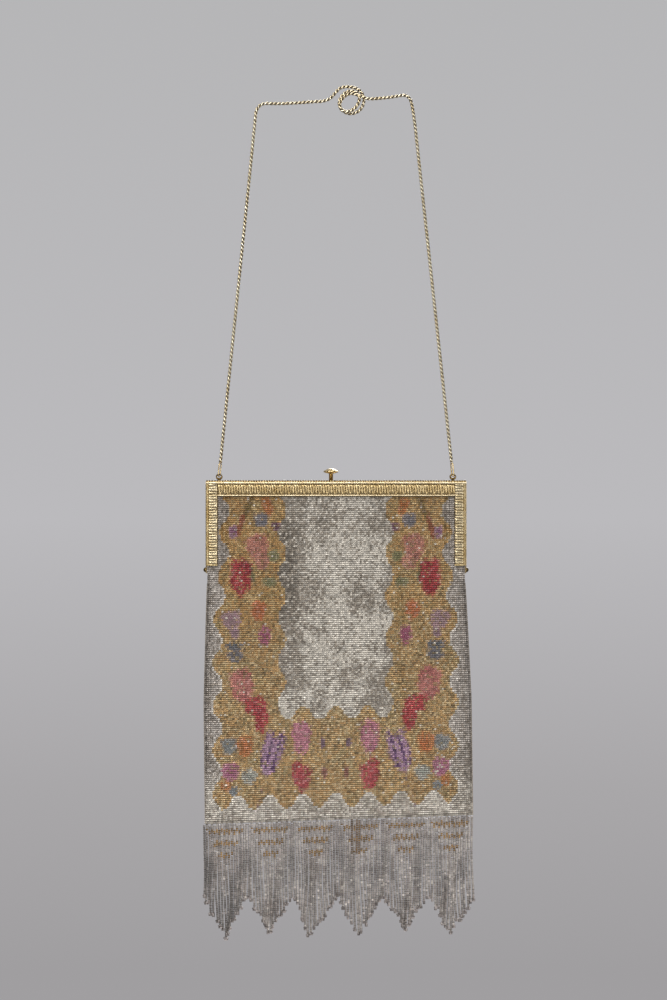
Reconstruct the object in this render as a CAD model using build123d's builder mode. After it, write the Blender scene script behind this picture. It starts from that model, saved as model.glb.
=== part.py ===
"""Beaded purse hung by its chain.

A gilt frame in two hinged halves closes with a push button. A flat bag of cut-steel bead rows hangs from it,
with a fringe cut in points, and a rope chain tied up in one loop carries the whole.
Millimetres, +Z up, the front faces -Y. The origin is the hang point at the middle of the chain's top run.
"""
import math
import os

from build123d import *

os.makedirs("parts", exist_ok=True)

# How far a cutting solid runs past what it cuts
overrun = 5.0

# Turns, in degrees
quarter_turn = 90.0
half_turn = 180.0
full_turn = 360.0

# Chain: a rope chain, its route chosen by hand from the end links up to the loop
chain_diameter = 2.3
hook_radius = 3.9
left_route = [(-77.8, 0, -241.6), (-53.3, 0, -1.9), (0.4, 0, 1.9)]
right_route = [(77.7, 0, -241.6), (51.1, 0, 4.4), (18.4, 0, 2.7)]
coil_center = (9.4, 0, 1.85)
coil_outer_radius = 10.0
coil_thickness = 5.0
coil_sides = 24
coil_chamfer = 1.4
chain_sides = 8

# Chain eyes on the frame and the oval links through them
chain_drop = 249.6
eye_inset = 8.9
eye_radius = 1.78
eye_wire = 0.42
eye_foot = 1.4
eye_foot_radius = 1.1
eye_sides = 16
foot_sides = 8
wire_chamfer = 0.25
link_radius = 1.4
link_wire = 0.42
link_length = 6.2
link_lean = 5.8
link_turn = 26.0
link_sides = 12

# Frame: two stamped channels of sheet, a bar with two arms each
frame_width = 175.0
frame_height = 56.0
frame_depth = 13.0
bar_height = 9.5
arm_width = 8.0
sheet = 0.8
relief = 0.7
top_rim = 1.3
bottom_rim = 1.0
side_rim = 1.8
end_rim = 0.8
back_lip = 2.6
seam_gap = 0.3
milled_width = 1.0
milled_height = 0.9

# Ornament strip: petals that point up and down by turns
strip = 0.3
ornament_gap = 0.1
petal_pitch = 3.05
petal_rise = 0.6
petal_taper = 18.0
petal_margin = 0.4
petal_width_share = 0.82
petal_tip_share = 0.36
petal_shoulder_share = 0.2

# Hinge at the lower ends of the arms
hinge_drop = 3.0
ear_radius = 2.4
ear_neck = 2.4
ear_root = 6.0
ear_root_depth = 3.0
hinge_gap = 0.15
pin_radius = 0.9
pin_play = 0.05
pin_head = 0.5
pin_head_radius = 1.5
ball_radius = 1.6
ball_shares = (0.8, 0.45)
ball_sides = 8

# Clasp: a button whose latch plate holds the striker of the front half
clasp_x = -3.4
button_radius = 4.8
button_height = 3.4
button_cone = 0.9
button_rim = 0.7
dome_radius_shares = (0.82, 0.45)
dome_height_shares = (0.55, 1.0)
scallop_count = 10
scallop_share = 0.92
stem_radius = 1.4
stem_rise = 5.8
stem_play = 0.08
stem_end = 0.5
plate_drop = 4.8
plate = 0.8
plate_reach = 2.4
plate_back = 2.2
lip_front = 1.6
lip = 0.8
lip_height = 2.1
tongue_offset = 2.4
tongue_width = 4.0
tongue_drop = 1.4
tongue = 0.8
tongue_end = 1.2
hook_drop = 1.6
striker_root = 2.2
spring_thickness = 0.4
spring_width = 3.0
spring_gap = 0.1
spring_foot = 5.0
spring_length = 20.0
spring_tip = 5.0

# Bag: bead rows on thread, flat panels that meet along the sides and the bottom
cloth = 1.2
row_pitch = 1.37
row_relief = 0.35
cloth_gap = 0.3
cloth_tuck = 4.0
bag_drop = 168.0
bag_top_width = 173.0
bag_bottom_width = 180.5
bag_belly = 1.6
hem_rise = 6.1
side_bevel = 9.0
side_edge = 1.5
bag_seam = 0.05
fold_radius = 7.0
fold_gap = 0.3
lining_points = 12

# Fringe: strands of beads, their ends in a row of points
strand_count = 108
strand_radius = 0.62
strand_sides = 4
point_count = 6
fringe_long = 76.0
fringe_short = 50.0
fringe_inset = 1.0

# Levels, all measured down from the hang point
swing_z = -chain_drop
frame_top = swing_z - 2 * eye_radius - eye_wire - eye_foot
frame_under = frame_top - sheet
frame_bottom = frame_top - frame_height
hinge_z = frame_bottom - hinge_drop
hem_z = hinge_z - bag_drop
bag_low = hem_z - hem_rise

# Widths and depths that several pieces share
mouth_width = frame_width - 2 * arm_width
eye_x = frame_width / 2 - eye_inset
front_seam = back_lip + seam_gap
cloth_face = frame_depth / 2 - sheet - cloth_gap
cloth_half = frame_width / 2 - sheet - cloth_gap
cloth_top = frame_top - bar_height + cloth_tuck
hem_face = cloth + bag_seam
hem_slope = hem_rise / bag_bottom_width
front_plane = Plane.XZ.offset(frame_depth / 2)
back_plane = Plane(origin=(0, frame_depth / 2, 0), x_dir=(-1, 0, 0), z_dir=(0, 1, 0))
hinge_axis = Axis((0, 0, hinge_z), (1, 0, 0))


def frame_outline():
    """Draw the frame's outline, a bar with two arms."""
    with Locations((0, frame_top)):
        Rectangle(frame_width, frame_height, align=(Align.CENTER, Align.MAX))
    with Locations((0, frame_top - bar_height)):
        Rectangle(mouth_width, frame_height, align=(Align.CENTER, Align.MAX), mode=Mode.SUBTRACT)


def channel_outline():
    """Draw what is hollow behind the frame's face."""
    with Locations((0, frame_under)):
        Rectangle(frame_width - 2 * sheet, frame_height, align=(Align.CENTER, Align.MAX))


def ornament_field(gap):
    """Draw the sunk field of the frame's face, smaller by a gap on every side."""
    top = frame_top - top_rim - gap
    bar_field = bar_height - top_rim - bottom_rim - 2 * gap
    arm_field = arm_width - side_rim - 2 * gap
    arm_center = (frame_width - arm_width - side_rim) / 2
    arm_length = frame_height - top_rim - end_rim - 2 * gap
    with Locations((0, top)):
        Rectangle(frame_width - 2 * side_rim - 2 * gap, bar_field, align=(Align.CENTER, Align.MAX))
    with Locations((arm_center, top), (-arm_center, top)):
        Rectangle(arm_field, arm_length, align=(Align.CENTER, Align.MAX))


def petal(length, width, turn):
    """Draw one petal about its middle, its broad end towards the turned up direction."""
    tip = petal_tip_share * width / 2
    shoulder = petal_shoulder_share * length
    end = length / 2
    side = width / 2
    Polygon((-tip, -end), (tip, -end), (side, shoulder), (0, end), (-side, shoulder), rotation=turn, align=None)


def ornament_petals():
    """Draw the petals of the bar and of both arms, each turned against the one before."""
    bar_field = bar_height - top_rim - bottom_rim
    arm_field = arm_width - side_rim
    bar_room = frame_width - 2 * side_rim - 2 * petal_margin
    arm_room = frame_height - bar_height - end_rim - petal_margin
    bar_count = int(bar_room / petal_pitch)
    arm_count = int(arm_room / petal_pitch)
    bar_step = bar_room / bar_count
    arm_step = arm_room / arm_count
    bar_z = frame_top - top_rim - bar_field / 2
    arm_x = (frame_width - arm_width - side_rim) / 2
    bar_length = bar_field - 2 * petal_margin
    arm_length = arm_field - 2 * petal_margin
    for index in range(bar_count):
        with Locations(((index - (bar_count - 1) / 2) * bar_step, bar_z)):
            petal(bar_length, petal_width_share * bar_step, half_turn * (index % 2))
    for index in range(arm_count):
        arm_z = frame_top - bar_height - (index + 1 / 2) * arm_step
        with Locations((arm_x, arm_z)):
            petal(arm_length, petal_width_share * arm_step, half_turn * (index % 2) + quarter_turn)
        with Locations((-arm_x, arm_z)):
            petal(arm_length, petal_width_share * arm_step, half_turn * (index % 2) - quarter_turn)


def oval(radius, length, sides):
    """Points round an upright oval with faceted ends, its lower end about the origin."""
    half = sides // 2
    turns = [math.pi * step / half for step in range(half + 1)]
    upper = [(radius * math.cos(turn), length + radius * math.sin(turn)) for turn in turns]
    lower = [(-radius * math.cos(turn), -radius * math.sin(turn)) for turn in turns]
    return upper + lower


def scallops(radius):
    """Draw the button's edge, a star with shallow notches."""
    turns = [math.pi * step / scallop_count for step in range(2 * scallop_count)]
    reach = [radius, radius * scallop_share]
    points = [
        (reach[step % 2] * math.cos(turn), reach[step % 2] * math.sin(turn)) for step, turn in enumerate(turns)
    ]
    Polygon(*points, align=None)


def bag_face(z):
    """Distance of the cloth's outer face from the middle: level in the frame, a low belly, flat at the seam."""
    down = min(max((hinge_z - z) / bag_drop, 0), 1)
    return cloth_face * (1 - down) + hem_face * down + bag_belly * math.sin(math.pi * down)


def bead_rows(top, bottom):
    """Points down the outer face of the cloth: the crest of each bead row and the dip between rows."""
    first = math.ceil((cloth_top - top) / row_pitch)
    last = math.floor((cloth_top - bottom) / row_pitch)
    points = [(bag_face(top) - row_relief, top)]
    for row in range(first, last):
        dip = cloth_top - row * row_pitch
        crest = dip - row_pitch / 2
        if dip < top:
            points.append((bag_face(dip) - row_relief, dip))
        points.append((bag_face(crest), crest))
    points.append((bag_face(bottom) - row_relief, bottom))
    return points


def bag_inside(top, bottom):
    """Points up the inner face of the cloth."""
    step = (top - bottom) / lining_points
    levels = [bottom + index * step for index in range(lining_points + 1)]
    return [(bag_face(z) - cloth, z) for z in levels]


hem_share_low = (hinge_z - bag_low) / bag_drop


def bag_width(z):
    """Full width of the bag below the frame."""
    down = min(max((hinge_z - z) / bag_drop, 0), hem_share_low)
    return bag_top_width + (bag_bottom_width - bag_top_width) * down


def pocket_plan(z, wall):
    """Draw one half of the bag from above at a level, bevelled to its side seams, less a wall."""
    half = bag_width(z) / 2 - wall
    deep = cloth_face + bag_belly + overrun
    bevel = side_bevel * (deep - side_edge) / (cloth_face - side_edge)
    edge = side_edge - wall / 2
    Polygon((-half, 0), (-half, edge), (bevel - half, deep), (half - bevel, deep), (half, edge), (half, 0), align=None)


# Front frame half: face, top and side walls, sunk field and the outer hinge ears
with BuildPart() as front_frame:
    with BuildSketch(front_plane.offset(relief)):
        frame_outline()
    extrude(amount=front_seam - frame_depth / 2 - relief)
    with BuildSketch(front_plane.offset(-sheet)):
        channel_outline()
    extrude(amount=-frame_depth, mode=Mode.SUBTRACT)
    with BuildSketch(front_plane):
        ornament_field(0)
    extrude(amount=relief, mode=Mode.SUBTRACT)
    for ear_x in (frame_width / 2 - sheet + hinge_gap, -frame_width / 2):
        with BuildSketch(Plane.YZ.offset(ear_x)):
            with BuildLine():
                Line((-front_seam - seam_gap - ear_neck, frame_bottom), (-front_seam - seam_gap, frame_bottom))
                CenterArc((0, hinge_z), ear_radius, 0, full_turn)
            make_hull()
            with Locations((0, hinge_z)):
                Circle(pin_radius + pin_play, mode=Mode.SUBTRACT)
        extrude(amount=sheet - hinge_gap)
front_frame.part.label = "front_frame"
export_step(front_frame.part, "parts/front_frame.step")

# Front ornament: the stamped strip set into the sunk field
with BuildPart() as front_ornament:
    with BuildSketch(front_plane):
        ornament_field(ornament_gap)
    extrude(amount=strip)
    with BuildSketch(front_plane.offset(strip)):
        ornament_petals()
    extrude(amount=petal_rise, taper=petal_taper)
front_ornament.part.label = "front_ornament"
export_step(front_ornament.part, "parts/front_ornament.step")

# Back frame half: reaches past the middle, with a milled lip, the button's hole and the inner hinge ears
with BuildPart() as back_frame:
    with BuildSketch(back_plane.offset(relief)):
        frame_outline()
    extrude(amount=-(frame_depth / 2 + relief + back_lip))
    with BuildSketch(back_plane.offset(-sheet)):
        channel_outline()
    extrude(amount=-frame_depth, mode=Mode.SUBTRACT)
    with BuildSketch(back_plane):
        ornament_field(0)
    extrude(amount=relief, mode=Mode.SUBTRACT)
    with BuildSketch(Plane.XY.offset(frame_top)):
        with Locations((0, -back_lip)):
            Rectangle(frame_width, milled_width, align=(Align.CENTER, Align.MIN))
    extrude(amount=milled_height)
    with BuildSketch(Plane.XY.offset(frame_top)):
        with Locations((clasp_x, 0)):
            Circle(stem_radius + stem_play)
    extrude(amount=-2 * sheet, mode=Mode.SUBTRACT)
    for ear_x in (frame_width / 2 - 2 * sheet, sheet - frame_width / 2):
        with BuildSketch(Plane.YZ.offset(ear_x)):
            with BuildLine():
                Line((0, frame_bottom + ear_root), (ear_root_depth, frame_bottom + ear_root))
                CenterArc((0, hinge_z), ear_radius, 0, full_turn)
            make_hull()
            with Locations((0, hinge_z)):
                Circle(pin_radius + pin_play, mode=Mode.SUBTRACT)
        extrude(amount=sheet)
back_frame.part.label = "back_frame"
export_step(back_frame.part, "parts/back_frame.step")

# Back ornament
with BuildPart() as back_ornament:
    with BuildSketch(back_plane):
        ornament_field(ornament_gap)
    extrude(amount=strip)
    with BuildSketch(back_plane.offset(strip)):
        ornament_petals()
    extrude(amount=petal_rise, taper=petal_taper)
back_ornament.part.label = "back_ornament"
export_step(back_ornament.part, "parts/back_ornament.step")

# Hinge pins: a round shaft with a flat head inside and a faceted ball head outside
pin_in = frame_width / 2 - 2 * sheet
pin_out = frame_width / 2 + pin_play
pin_plane = Plane(origin=(pin_in, 0, hinge_z), x_dir=(0, 1, 0), z_dir=(1, 0, 0))
ball_step = ball_radius / len(ball_shares)
with BuildPart() as hinge_pins:
    with BuildSketch(pin_plane.offset(-pin_head)):
        RegularPolygon(pin_head_radius, ball_sides)
    extrude(amount=pin_head)
    with BuildSketch(pin_plane):
        Circle(pin_radius)
    extrude(amount=pin_out - pin_in)
    with BuildSketch(pin_plane.offset(pin_out - pin_in)):
        RegularPolygon(ball_radius, ball_sides)
    for level, share in enumerate(ball_shares):
        with BuildSketch(pin_plane.offset(pin_out - pin_in + (level + 1) * ball_step)):
            RegularPolygon(ball_radius * share, ball_sides)
    loft(ruled=True)
    mirror(about=Plane.YZ)
hinge_pins.part.label = "hinge_pins"
export_step(hinge_pins.part, "parts/hinge_pins.step")

# Chain eyes: a ring on a short foot at each end of the back half's top
with BuildPart() as chain_eyes:
    with BuildSketch(Plane.XZ):
        with Locations((eye_x, swing_z - eye_radius), (-eye_x, swing_z - eye_radius)):
            RegularPolygon(eye_radius + eye_wire, eye_sides)
            RegularPolygon(eye_radius - eye_wire, eye_sides, mode=Mode.SUBTRACT)
    extrude(amount=eye_wire, both=True)
    chamfer(faces().filter_by(Axis.Y).edges(), wire_chamfer)
    with BuildSketch(Plane.XY.offset(frame_top)):
        with Locations((eye_x, 0), (-eye_x, 0)):
            RegularPolygon(eye_foot_radius, foot_sides)
    extrude(amount=eye_foot + eye_wire)
chain_eyes.part.label = "chain_eyes"
export_step(chain_eyes.part, "parts/chain_eyes.step")

# End links: ovals that hang the eyes from the chain, in line with its pull
lean = math.radians(link_lean)
turn = math.radians(link_turn)
link_up = (math.sin(lean), 0, math.cos(lean))
link_side = (math.sin(turn) * math.cos(lean), math.cos(turn), -math.sin(turn) * math.sin(lean))
link_normal = Vector(*link_side).cross(Vector(*link_up))
link_plane = Plane(origin=(-eye_x, 0, swing_z), x_dir=link_side, z_dir=link_normal)
with BuildPart() as end_links:
    with BuildSketch(link_plane):
        Polygon(*oval(link_radius + link_wire, link_length, link_sides), align=None)
        Polygon(*oval(link_radius - link_wire, link_length, link_sides), align=None, mode=Mode.SUBTRACT)
    extrude(amount=link_wire, both=True)
    chamfer(faces().filter_by(lambda face: face.inner_wires()).edges(), wire_chamfer)
    mirror(about=Plane.YZ)
end_links.part.label = "end_links"
export_step(end_links.part, "parts/end_links.step")

# Chain runs: plain tubes along the route, with one tight arc over each support
for name, route in (("chain_left_run", left_route), ("chain_right_run", right_route)):
    with BuildPart() as chain_run:
        with BuildLine() as chain_path:
            FilletPolyline(*route, radius=hook_radius)
        with BuildSketch(Plane(origin=chain_path.wire() @ 0, z_dir=chain_path.wire() % 0)):
            RegularPolygon(chain_diameter / 2, chain_sides)
        sweep(path=chain_path.wire())
    chain_run.part.label = name
    export_step(chain_run.part, "parts/" + name + ".step")
    print(name, "bend radius", hook_radius, "length", round(chain_path.wire().length))

# Chain coil: the outer shape of the loop that takes up the chain's slack
with BuildPart() as chain_coil:
    with BuildSketch(Plane(origin=coil_center, x_dir=(1, 0, 0), z_dir=(0, -1, 0))):
        RegularPolygon(coil_outer_radius, coil_sides)
        RegularPolygon(coil_outer_radius - coil_thickness, coil_sides, mode=Mode.SUBTRACT)
    extrude(amount=coil_thickness / 2, both=True)
    chamfer(faces().filter_by(Axis.Y).edges(), coil_chamfer)
chain_coil.part.label = "chain_coil"
export_step(chain_coil.part, "parts/chain_coil.step")

# Clasp button: a scalloped mushroom head on a stem through the back half's top
head_z = frame_top + stem_rise
rim_z = head_z + button_cone
stem_low = frame_under - plate_drop - plate - stem_end
dome_z = rim_z + button_rim
dome_rise = head_z + button_height - dome_z
dome = zip(dome_radius_shares, dome_height_shares)
levels = [(head_z, stem_radius), (rim_z, button_radius), (dome_z, button_radius)]
levels += [(dome_z + dome_rise * up, button_radius * out) for out, up in dome]
with BuildPart() as clasp_button:
    for level, radius in levels:
        with BuildSketch(Plane(origin=(clasp_x, 0, level))):
            scallops(radius)
    loft(ruled=True)
    with BuildSketch(Plane(origin=(clasp_x, 0, stem_low))):
        Circle(stem_radius)
    extrude(amount=rim_z - stem_low)
clasp_button.part.label = "clasp_button"
export_step(clasp_button.part, "parts/clasp_button.step")

# Latch plate: fast on the stem, its lip stands up in front of the striker's hook
plate_top = frame_under - plate_drop
with BuildPart() as latch_plate:
    with BuildSketch(Plane.XY.offset(plate_top - plate)):
        with Locations((clasp_x - plate_reach, -lip_front)):
            Rectangle(
                plate_reach + tongue_offset + tongue_width,
                lip_front + plate_back,
                align=(Align.MIN, Align.MIN),
            )
        with Locations((clasp_x, 0)):
            Circle(stem_radius, mode=Mode.SUBTRACT)
    extrude(amount=plate)
    with BuildSketch(Plane.XY.offset(plate_top)):
        with Locations((clasp_x + tongue_offset, -lip_front)):
            Rectangle(tongue_width, lip, align=(Align.MIN, Align.MIN))
    extrude(amount=lip_height)
latch_plate.part.label = "latch_plate"
export_step(latch_plate.part, "parts/latch_plate.step")

# Clasp striker: a tongue under the front half's top, turned down behind the lip
tongue_top = frame_under - tongue_drop
tongue_low = tongue_top - tongue
striker_back = -front_seam - seam_gap
with BuildPart() as clasp_striker:
    with BuildSketch(Plane.YZ.offset(clasp_x + tongue_offset)):
        with BuildLine():
            Polyline(
                (striker_back - striker_root, frame_under),
                (striker_back, frame_under),
                (striker_back, tongue_top),
                (tongue_end, tongue_top),
                (tongue_end, tongue_low - hook_drop),
                (tongue_end - tongue, tongue_low - hook_drop),
                (tongue_end - tongue, tongue_low),
                (striker_back - striker_root, tongue_low),
                close=True,
            )
        make_face()
    extrude(amount=tongue_width)
clasp_striker.part.label = "clasp_striker"
export_step(clasp_striker.part, "parts/clasp_striker.step")

# Clasp spring: a bent leaf, fast under the back half's top, that lifts the stem
spring_start = clasp_x - spring_length
spring_level = stem_low - spring_gap
with BuildPart() as clasp_spring:
    with BuildSketch(Plane.XZ):
        with BuildLine():
            Polyline(
                (spring_start, frame_under),
                (spring_start + spring_foot, frame_under),
                (clasp_x - spring_tip / 2, spring_level),
                (clasp_x + spring_tip / 2, spring_level),
                (clasp_x + spring_tip / 2, spring_level - spring_thickness),
                (clasp_x - spring_tip / 2 - spring_thickness, spring_level - spring_thickness),
                (spring_start + spring_foot - spring_thickness, frame_under - spring_thickness),
                (spring_start, frame_under - spring_thickness),
                close=True,
            )
        make_face()
    extrude(amount=spring_width / 2, both=True)
clasp_spring.part.label = "clasp_spring"
export_step(clasp_spring.part, "parts/clasp_spring.step")

# Hollow of one half of the bag, drawn for the back half
with BuildPart() as bag_hollow:
    with BuildSketch(Plane.YZ):
        with BuildLine():
            Polyline((0, hinge_z), (0, bag_low), *bag_inside(hinge_z, bag_low), close=True)
        make_face()
    extrude(amount=bag_bottom_width, both=True)
    with BuildSketch(Plane.XY.offset(hinge_z)):
        pocket_plan(hinge_z, cloth)
    with BuildSketch(Plane.XY.offset(bag_low)):
        pocket_plan(bag_low, cloth)
    loft(ruled=True, mode=Mode.INTERSECT)

# One half of the bag below the hinge, drawn for the back half: bead rows outside, hollow inside
with BuildPart() as bag_half:
    with BuildSketch(Plane.YZ):
        with BuildLine():
            Polyline(*bead_rows(hinge_z, bag_low), (bag_seam, bag_low), (bag_seam, hinge_z), close=True)
        make_face()
    extrude(amount=bag_bottom_width, both=True)
    with BuildSketch(Plane.XY.offset(hinge_z)):
        pocket_plan(hinge_z, 0)
    with BuildSketch(Plane.XY.offset(bag_low)):
        pocket_plan(bag_low, 0)
    loft(ruled=True, mode=Mode.INTERSECT)
    add(bag_hollow.part, mode=Mode.SUBTRACT)
    with BuildSketch(Plane.XZ):
        with BuildLine():
            Polyline(
                (-bag_bottom_width, hem_z - hem_slope * bag_bottom_width),
                (bag_bottom_width, hem_z + hem_slope * bag_bottom_width),
                (bag_bottom_width, hem_z - bag_drop),
                (-bag_bottom_width, hem_z - bag_drop),
                close=True,
            )
        make_face()
    extrude(amount=frame_depth + overrun, both=True, mode=Mode.SUBTRACT)

# Back panel: from the frame's top down to the seam
with BuildPart() as back_panel:
    add(bag_half.part)
    with BuildSketch(Plane.YZ):
        with Locations((0, hinge_z)):
            Circle(fold_radius + fold_gap)
        with Locations((cloth_face - cloth, hinge_z)):
            Rectangle(
                2 * frame_depth, 2 * frame_depth, align=(Align.MAX, Align.CENTER), mode=Mode.INTERSECT
            )
    extrude(amount=frame_width, both=True, mode=Mode.SUBTRACT)
    with BuildSketch(Plane.YZ):
        with BuildLine():
            Polyline(*bead_rows(cloth_top, hinge_z), *bag_inside(cloth_top, hinge_z), close=True)
        make_face()
    extrude(amount=cloth_half, both=True)
back_panel.part.label = "back_panel"
export_step(back_panel.part, "parts/back_panel.step")

# Front panel: the same below the fold that follows the hinge
with BuildPart() as front_panel:
    add(mirror(bag_half.part, about=Plane.XZ, mode=Mode.PRIVATE))
    with BuildSketch(Plane.YZ):
        with Locations((0, hinge_z)):
            Circle(fold_radius + fold_gap)
    extrude(amount=frame_width, both=True, mode=Mode.SUBTRACT)
front_panel.part.label = "front_panel"
export_step(front_panel.part, "parts/front_panel.step")

# Front flap: the cloth between the front half's arms, down to that fold
with BuildPart() as front_flap:
    with BuildSketch(Plane.YZ):
        with BuildLine():
            Polyline(
                *[(-y, z) for y, z in bead_rows(cloth_top, hinge_z - fold_radius)],
                (cloth - cloth_face, hinge_z - fold_radius),
                (cloth - cloth_face, cloth_top),
                close=True,
            )
        make_face()
        with BuildSketch(mode=Mode.INTERSECT):
            with Locations((0, hinge_z)):
                Circle(fold_radius)
                Rectangle(2 * frame_depth, frame_height + hinge_drop, align=(Align.CENTER, Align.MIN))
    extrude(amount=cloth_half, both=True)
front_flap.part.label = "front_flap"
export_step(front_flap.part, "parts/front_flap.step")

# Fringe: strands from the bottom seam, their lower ends cut in points
fringe_width = bag_bottom_width - 2 * fringe_inset
strand_step = fringe_width / strand_count
point_width = fringe_width / point_count
hem_plane = Plane(origin=(0, 0, hem_z), x_dir=(1, 0, hem_slope), z_dir=(-hem_slope, 0, 1))
ends = [(-fringe_width / 2, hem_z - fringe_short)]
for point in range(point_count):
    tip_x = (point + 1 / 2) * point_width - fringe_width / 2
    ends.append((tip_x, hem_z - fringe_long))
    ends.append((tip_x + point_width / 2, hem_z - fringe_short))
with BuildPart() as fringe:
    with BuildSketch(hem_plane):
        with GridLocations(strand_step, strand_step, strand_count, 1):
            RegularPolygon(strand_radius, strand_sides)
    extrude(amount=fringe_long + hem_rise, dir=(0, 0, -1))
    with BuildSketch(Plane.XZ):
        with BuildLine():
            Polyline(
                *ends,
                (fringe_width / 2 + overrun, hem_z - fringe_short),
                (fringe_width / 2 + overrun, hem_z - 2 * fringe_long),
                (-fringe_width / 2 - overrun, hem_z - 2 * fringe_long),
                (-fringe_width / 2 - overrun, hem_z - fringe_short),
                close=True,
            )
        make_face()
    extrude(amount=overrun, both=True, mode=Mode.SUBTRACT)
fringe.part.label = "fringe"
export_step(fringe.part, "parts/fringe.step")
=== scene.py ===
# %% [markdown]
# A beaded purse from about a hundred years ago hangs by its rope chain. Its frame and clasp come from the
# CAD model, which is loaded here as a fixed frame. This file adds what CAD is poor at: thousands of steel
# beads, the strung fringe, the links of the chain, the chased relief of the frame, and every finish.

import math

import bmesh
import bpy
import numpy as np
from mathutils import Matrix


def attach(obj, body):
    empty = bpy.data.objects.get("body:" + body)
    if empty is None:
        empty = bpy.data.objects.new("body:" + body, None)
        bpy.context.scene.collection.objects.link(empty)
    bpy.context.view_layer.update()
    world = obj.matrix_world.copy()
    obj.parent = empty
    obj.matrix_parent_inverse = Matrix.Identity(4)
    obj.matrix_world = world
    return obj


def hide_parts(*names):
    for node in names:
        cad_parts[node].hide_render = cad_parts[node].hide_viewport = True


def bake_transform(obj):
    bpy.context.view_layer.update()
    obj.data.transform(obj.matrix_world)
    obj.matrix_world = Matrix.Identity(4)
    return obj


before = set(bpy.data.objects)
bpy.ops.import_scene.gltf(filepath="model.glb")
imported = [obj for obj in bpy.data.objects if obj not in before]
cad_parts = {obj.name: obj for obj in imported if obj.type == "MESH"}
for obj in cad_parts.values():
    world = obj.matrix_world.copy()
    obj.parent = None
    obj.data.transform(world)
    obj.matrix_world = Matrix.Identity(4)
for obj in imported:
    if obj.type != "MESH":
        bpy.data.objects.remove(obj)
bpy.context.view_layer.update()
scene = bpy.context.scene
MM = 0.001
print("CAD nodes:", sorted(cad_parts))

# %% [markdown]
# The camera comes first, because everything is judged through it. The purse was photographed straight on
# with a long lens, so verticals stay vertical and the sides of the bag hardly converge.

# %% Camera
CAMERA_DISTANCE = 2200 * MM
CAMERA_X = -1.7 * MM
CAMERA_Z = -267 * MM
LENS = 117.7

camera_data = bpy.data.cameras.new("camera")
camera_data.lens = LENS
camera_data.sensor_width = 36
camera_data.clip_end = 20
camera = bpy.data.objects.new("camera", camera_data)
camera.location = (CAMERA_X, -CAMERA_DISTANCE, CAMERA_Z)
camera.rotation_euler = (math.pi / 2, 0, 0)
scene.collection.objects.link(camera)
scene.camera = camera
scene.view_settings.view_transform = "Standard"
print("camera", tuple(round(v, 3) for v in camera.location))

# %% [markdown]
# A few helpers serve every piece. The first two turn a written colour into the linear light that shaders
# work in. The next four make shaders, and the rest put whole numpy arrays into meshes.

# %% Helpers for colours
def linear(hex_colour):
    """An sRGB hex colour as linear red, green, blue: each channel follows the sRGB curve."""
    srgb = np.array([int(hex_colour[i:i + 2], 16) for i in (1, 3, 5)]) / 255
    return np.where(srgb <= 0.04045, srgb / 12.92, ((srgb + 0.055) / 1.055) ** 2.4)


def rgba(hex_colour):
    """The same with full opacity, as a shader's socket takes it."""
    return (*linear(hex_colour), 1.0)


# %% Helpers for shaders
def feed(tree, node, **values):
    """Set a node's inputs, by name or as _ and a number, each to a value or to another node's socket."""
    for name, value in values.items():
        socket = node.inputs[int(name[1:])] if name[0] == "_" else node.inputs[name.replace("_", " ")]
        if isinstance(value, bpy.types.NodeSocket):
            tree.links.new(value, socket)
        else:
            socket.default_value = value


def add(tree, kind, settings=None, **values):
    """Add a shader node: settings are its own fields, and values go to its inputs."""
    node = tree.nodes.new("ShaderNode" + kind)
    for field, value in (settings or {}).items():
        setattr(node, field, value)
    feed(tree, node, **values)
    return node


def mix(tree, share, first, second, blend="MIX"):
    """A colour between two colours, at a share from 0 to 1."""
    settings = {"data_type": "RGBA", "blend_type": blend}
    return add(tree, "Mix", settings, _0=share, _6=first, _7=second).outputs[2]


def material(name):
    """A new material, its node tree and its surface shader."""
    made = bpy.data.materials.new(name)
    made.use_nodes = True
    return made, made.node_tree, made.node_tree.nodes["Principled BSDF"]


# %% Helpers for meshes
def mesh_object(name, points, faces, finish, smooth=False, weld=False, closed=True):
    """An object at the origin from a point array and a list of face arrays, each with one corner count.
    Points that coincide are welded on request, and a closed mesh has its faces turned outwards."""
    data = bpy.data.meshes.new(name)
    data.from_pydata(points, [], [corners for group in faces for corners in group.tolist()])
    data.polygons.foreach_set("use_smooth", np.full(len(data.polygons), smooth))
    solid = bmesh.new()
    solid.from_mesh(data)
    if weld:
        bmesh.ops.remove_doubles(solid, verts=solid.verts, dist=1e-6)
    if closed:
        bmesh.ops.recalc_face_normals(solid, faces=solid.faces)
        if solid.calc_volume(signed=True) < 0:
            bmesh.ops.reverse_faces(solid, faces=solid.faces)
    solid.to_mesh(data)
    solid.free()
    data.materials.append(finish)
    made = bpy.data.objects.new(name, data)
    scene.collection.objects.link(made)
    triangles = sum(len(group) * (group.shape[1] - 2) for group in faces)
    print(name, len(points), "points", triangles, "triangles")
    return made


def ring(sides):
    """Angles of a full turn in equal steps."""
    return np.linspace(0, 2 * math.pi, sides, endpoint=False)


def stacked(*columns):
    """Arrays of x, y and z, spread to one shape, as an array of points."""
    return np.stack(np.broadcast_arrays(*columns), -1)


def grid_faces(rows, columns, start=0, closed=False):
    """Quads of a grid of rows by columns points, counted row by row from a first point. A closed grid also
    joins its last column to its first."""
    j = np.arange(columns if closed else columns - 1)[None, :]
    row = np.arange(rows - 1)[:, None] * columns + start
    after = (j + 1) % columns
    return np.stack([row + j, row + after, row + columns + after, row + columns + j], axis=-1).reshape(-1, 4)


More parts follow.
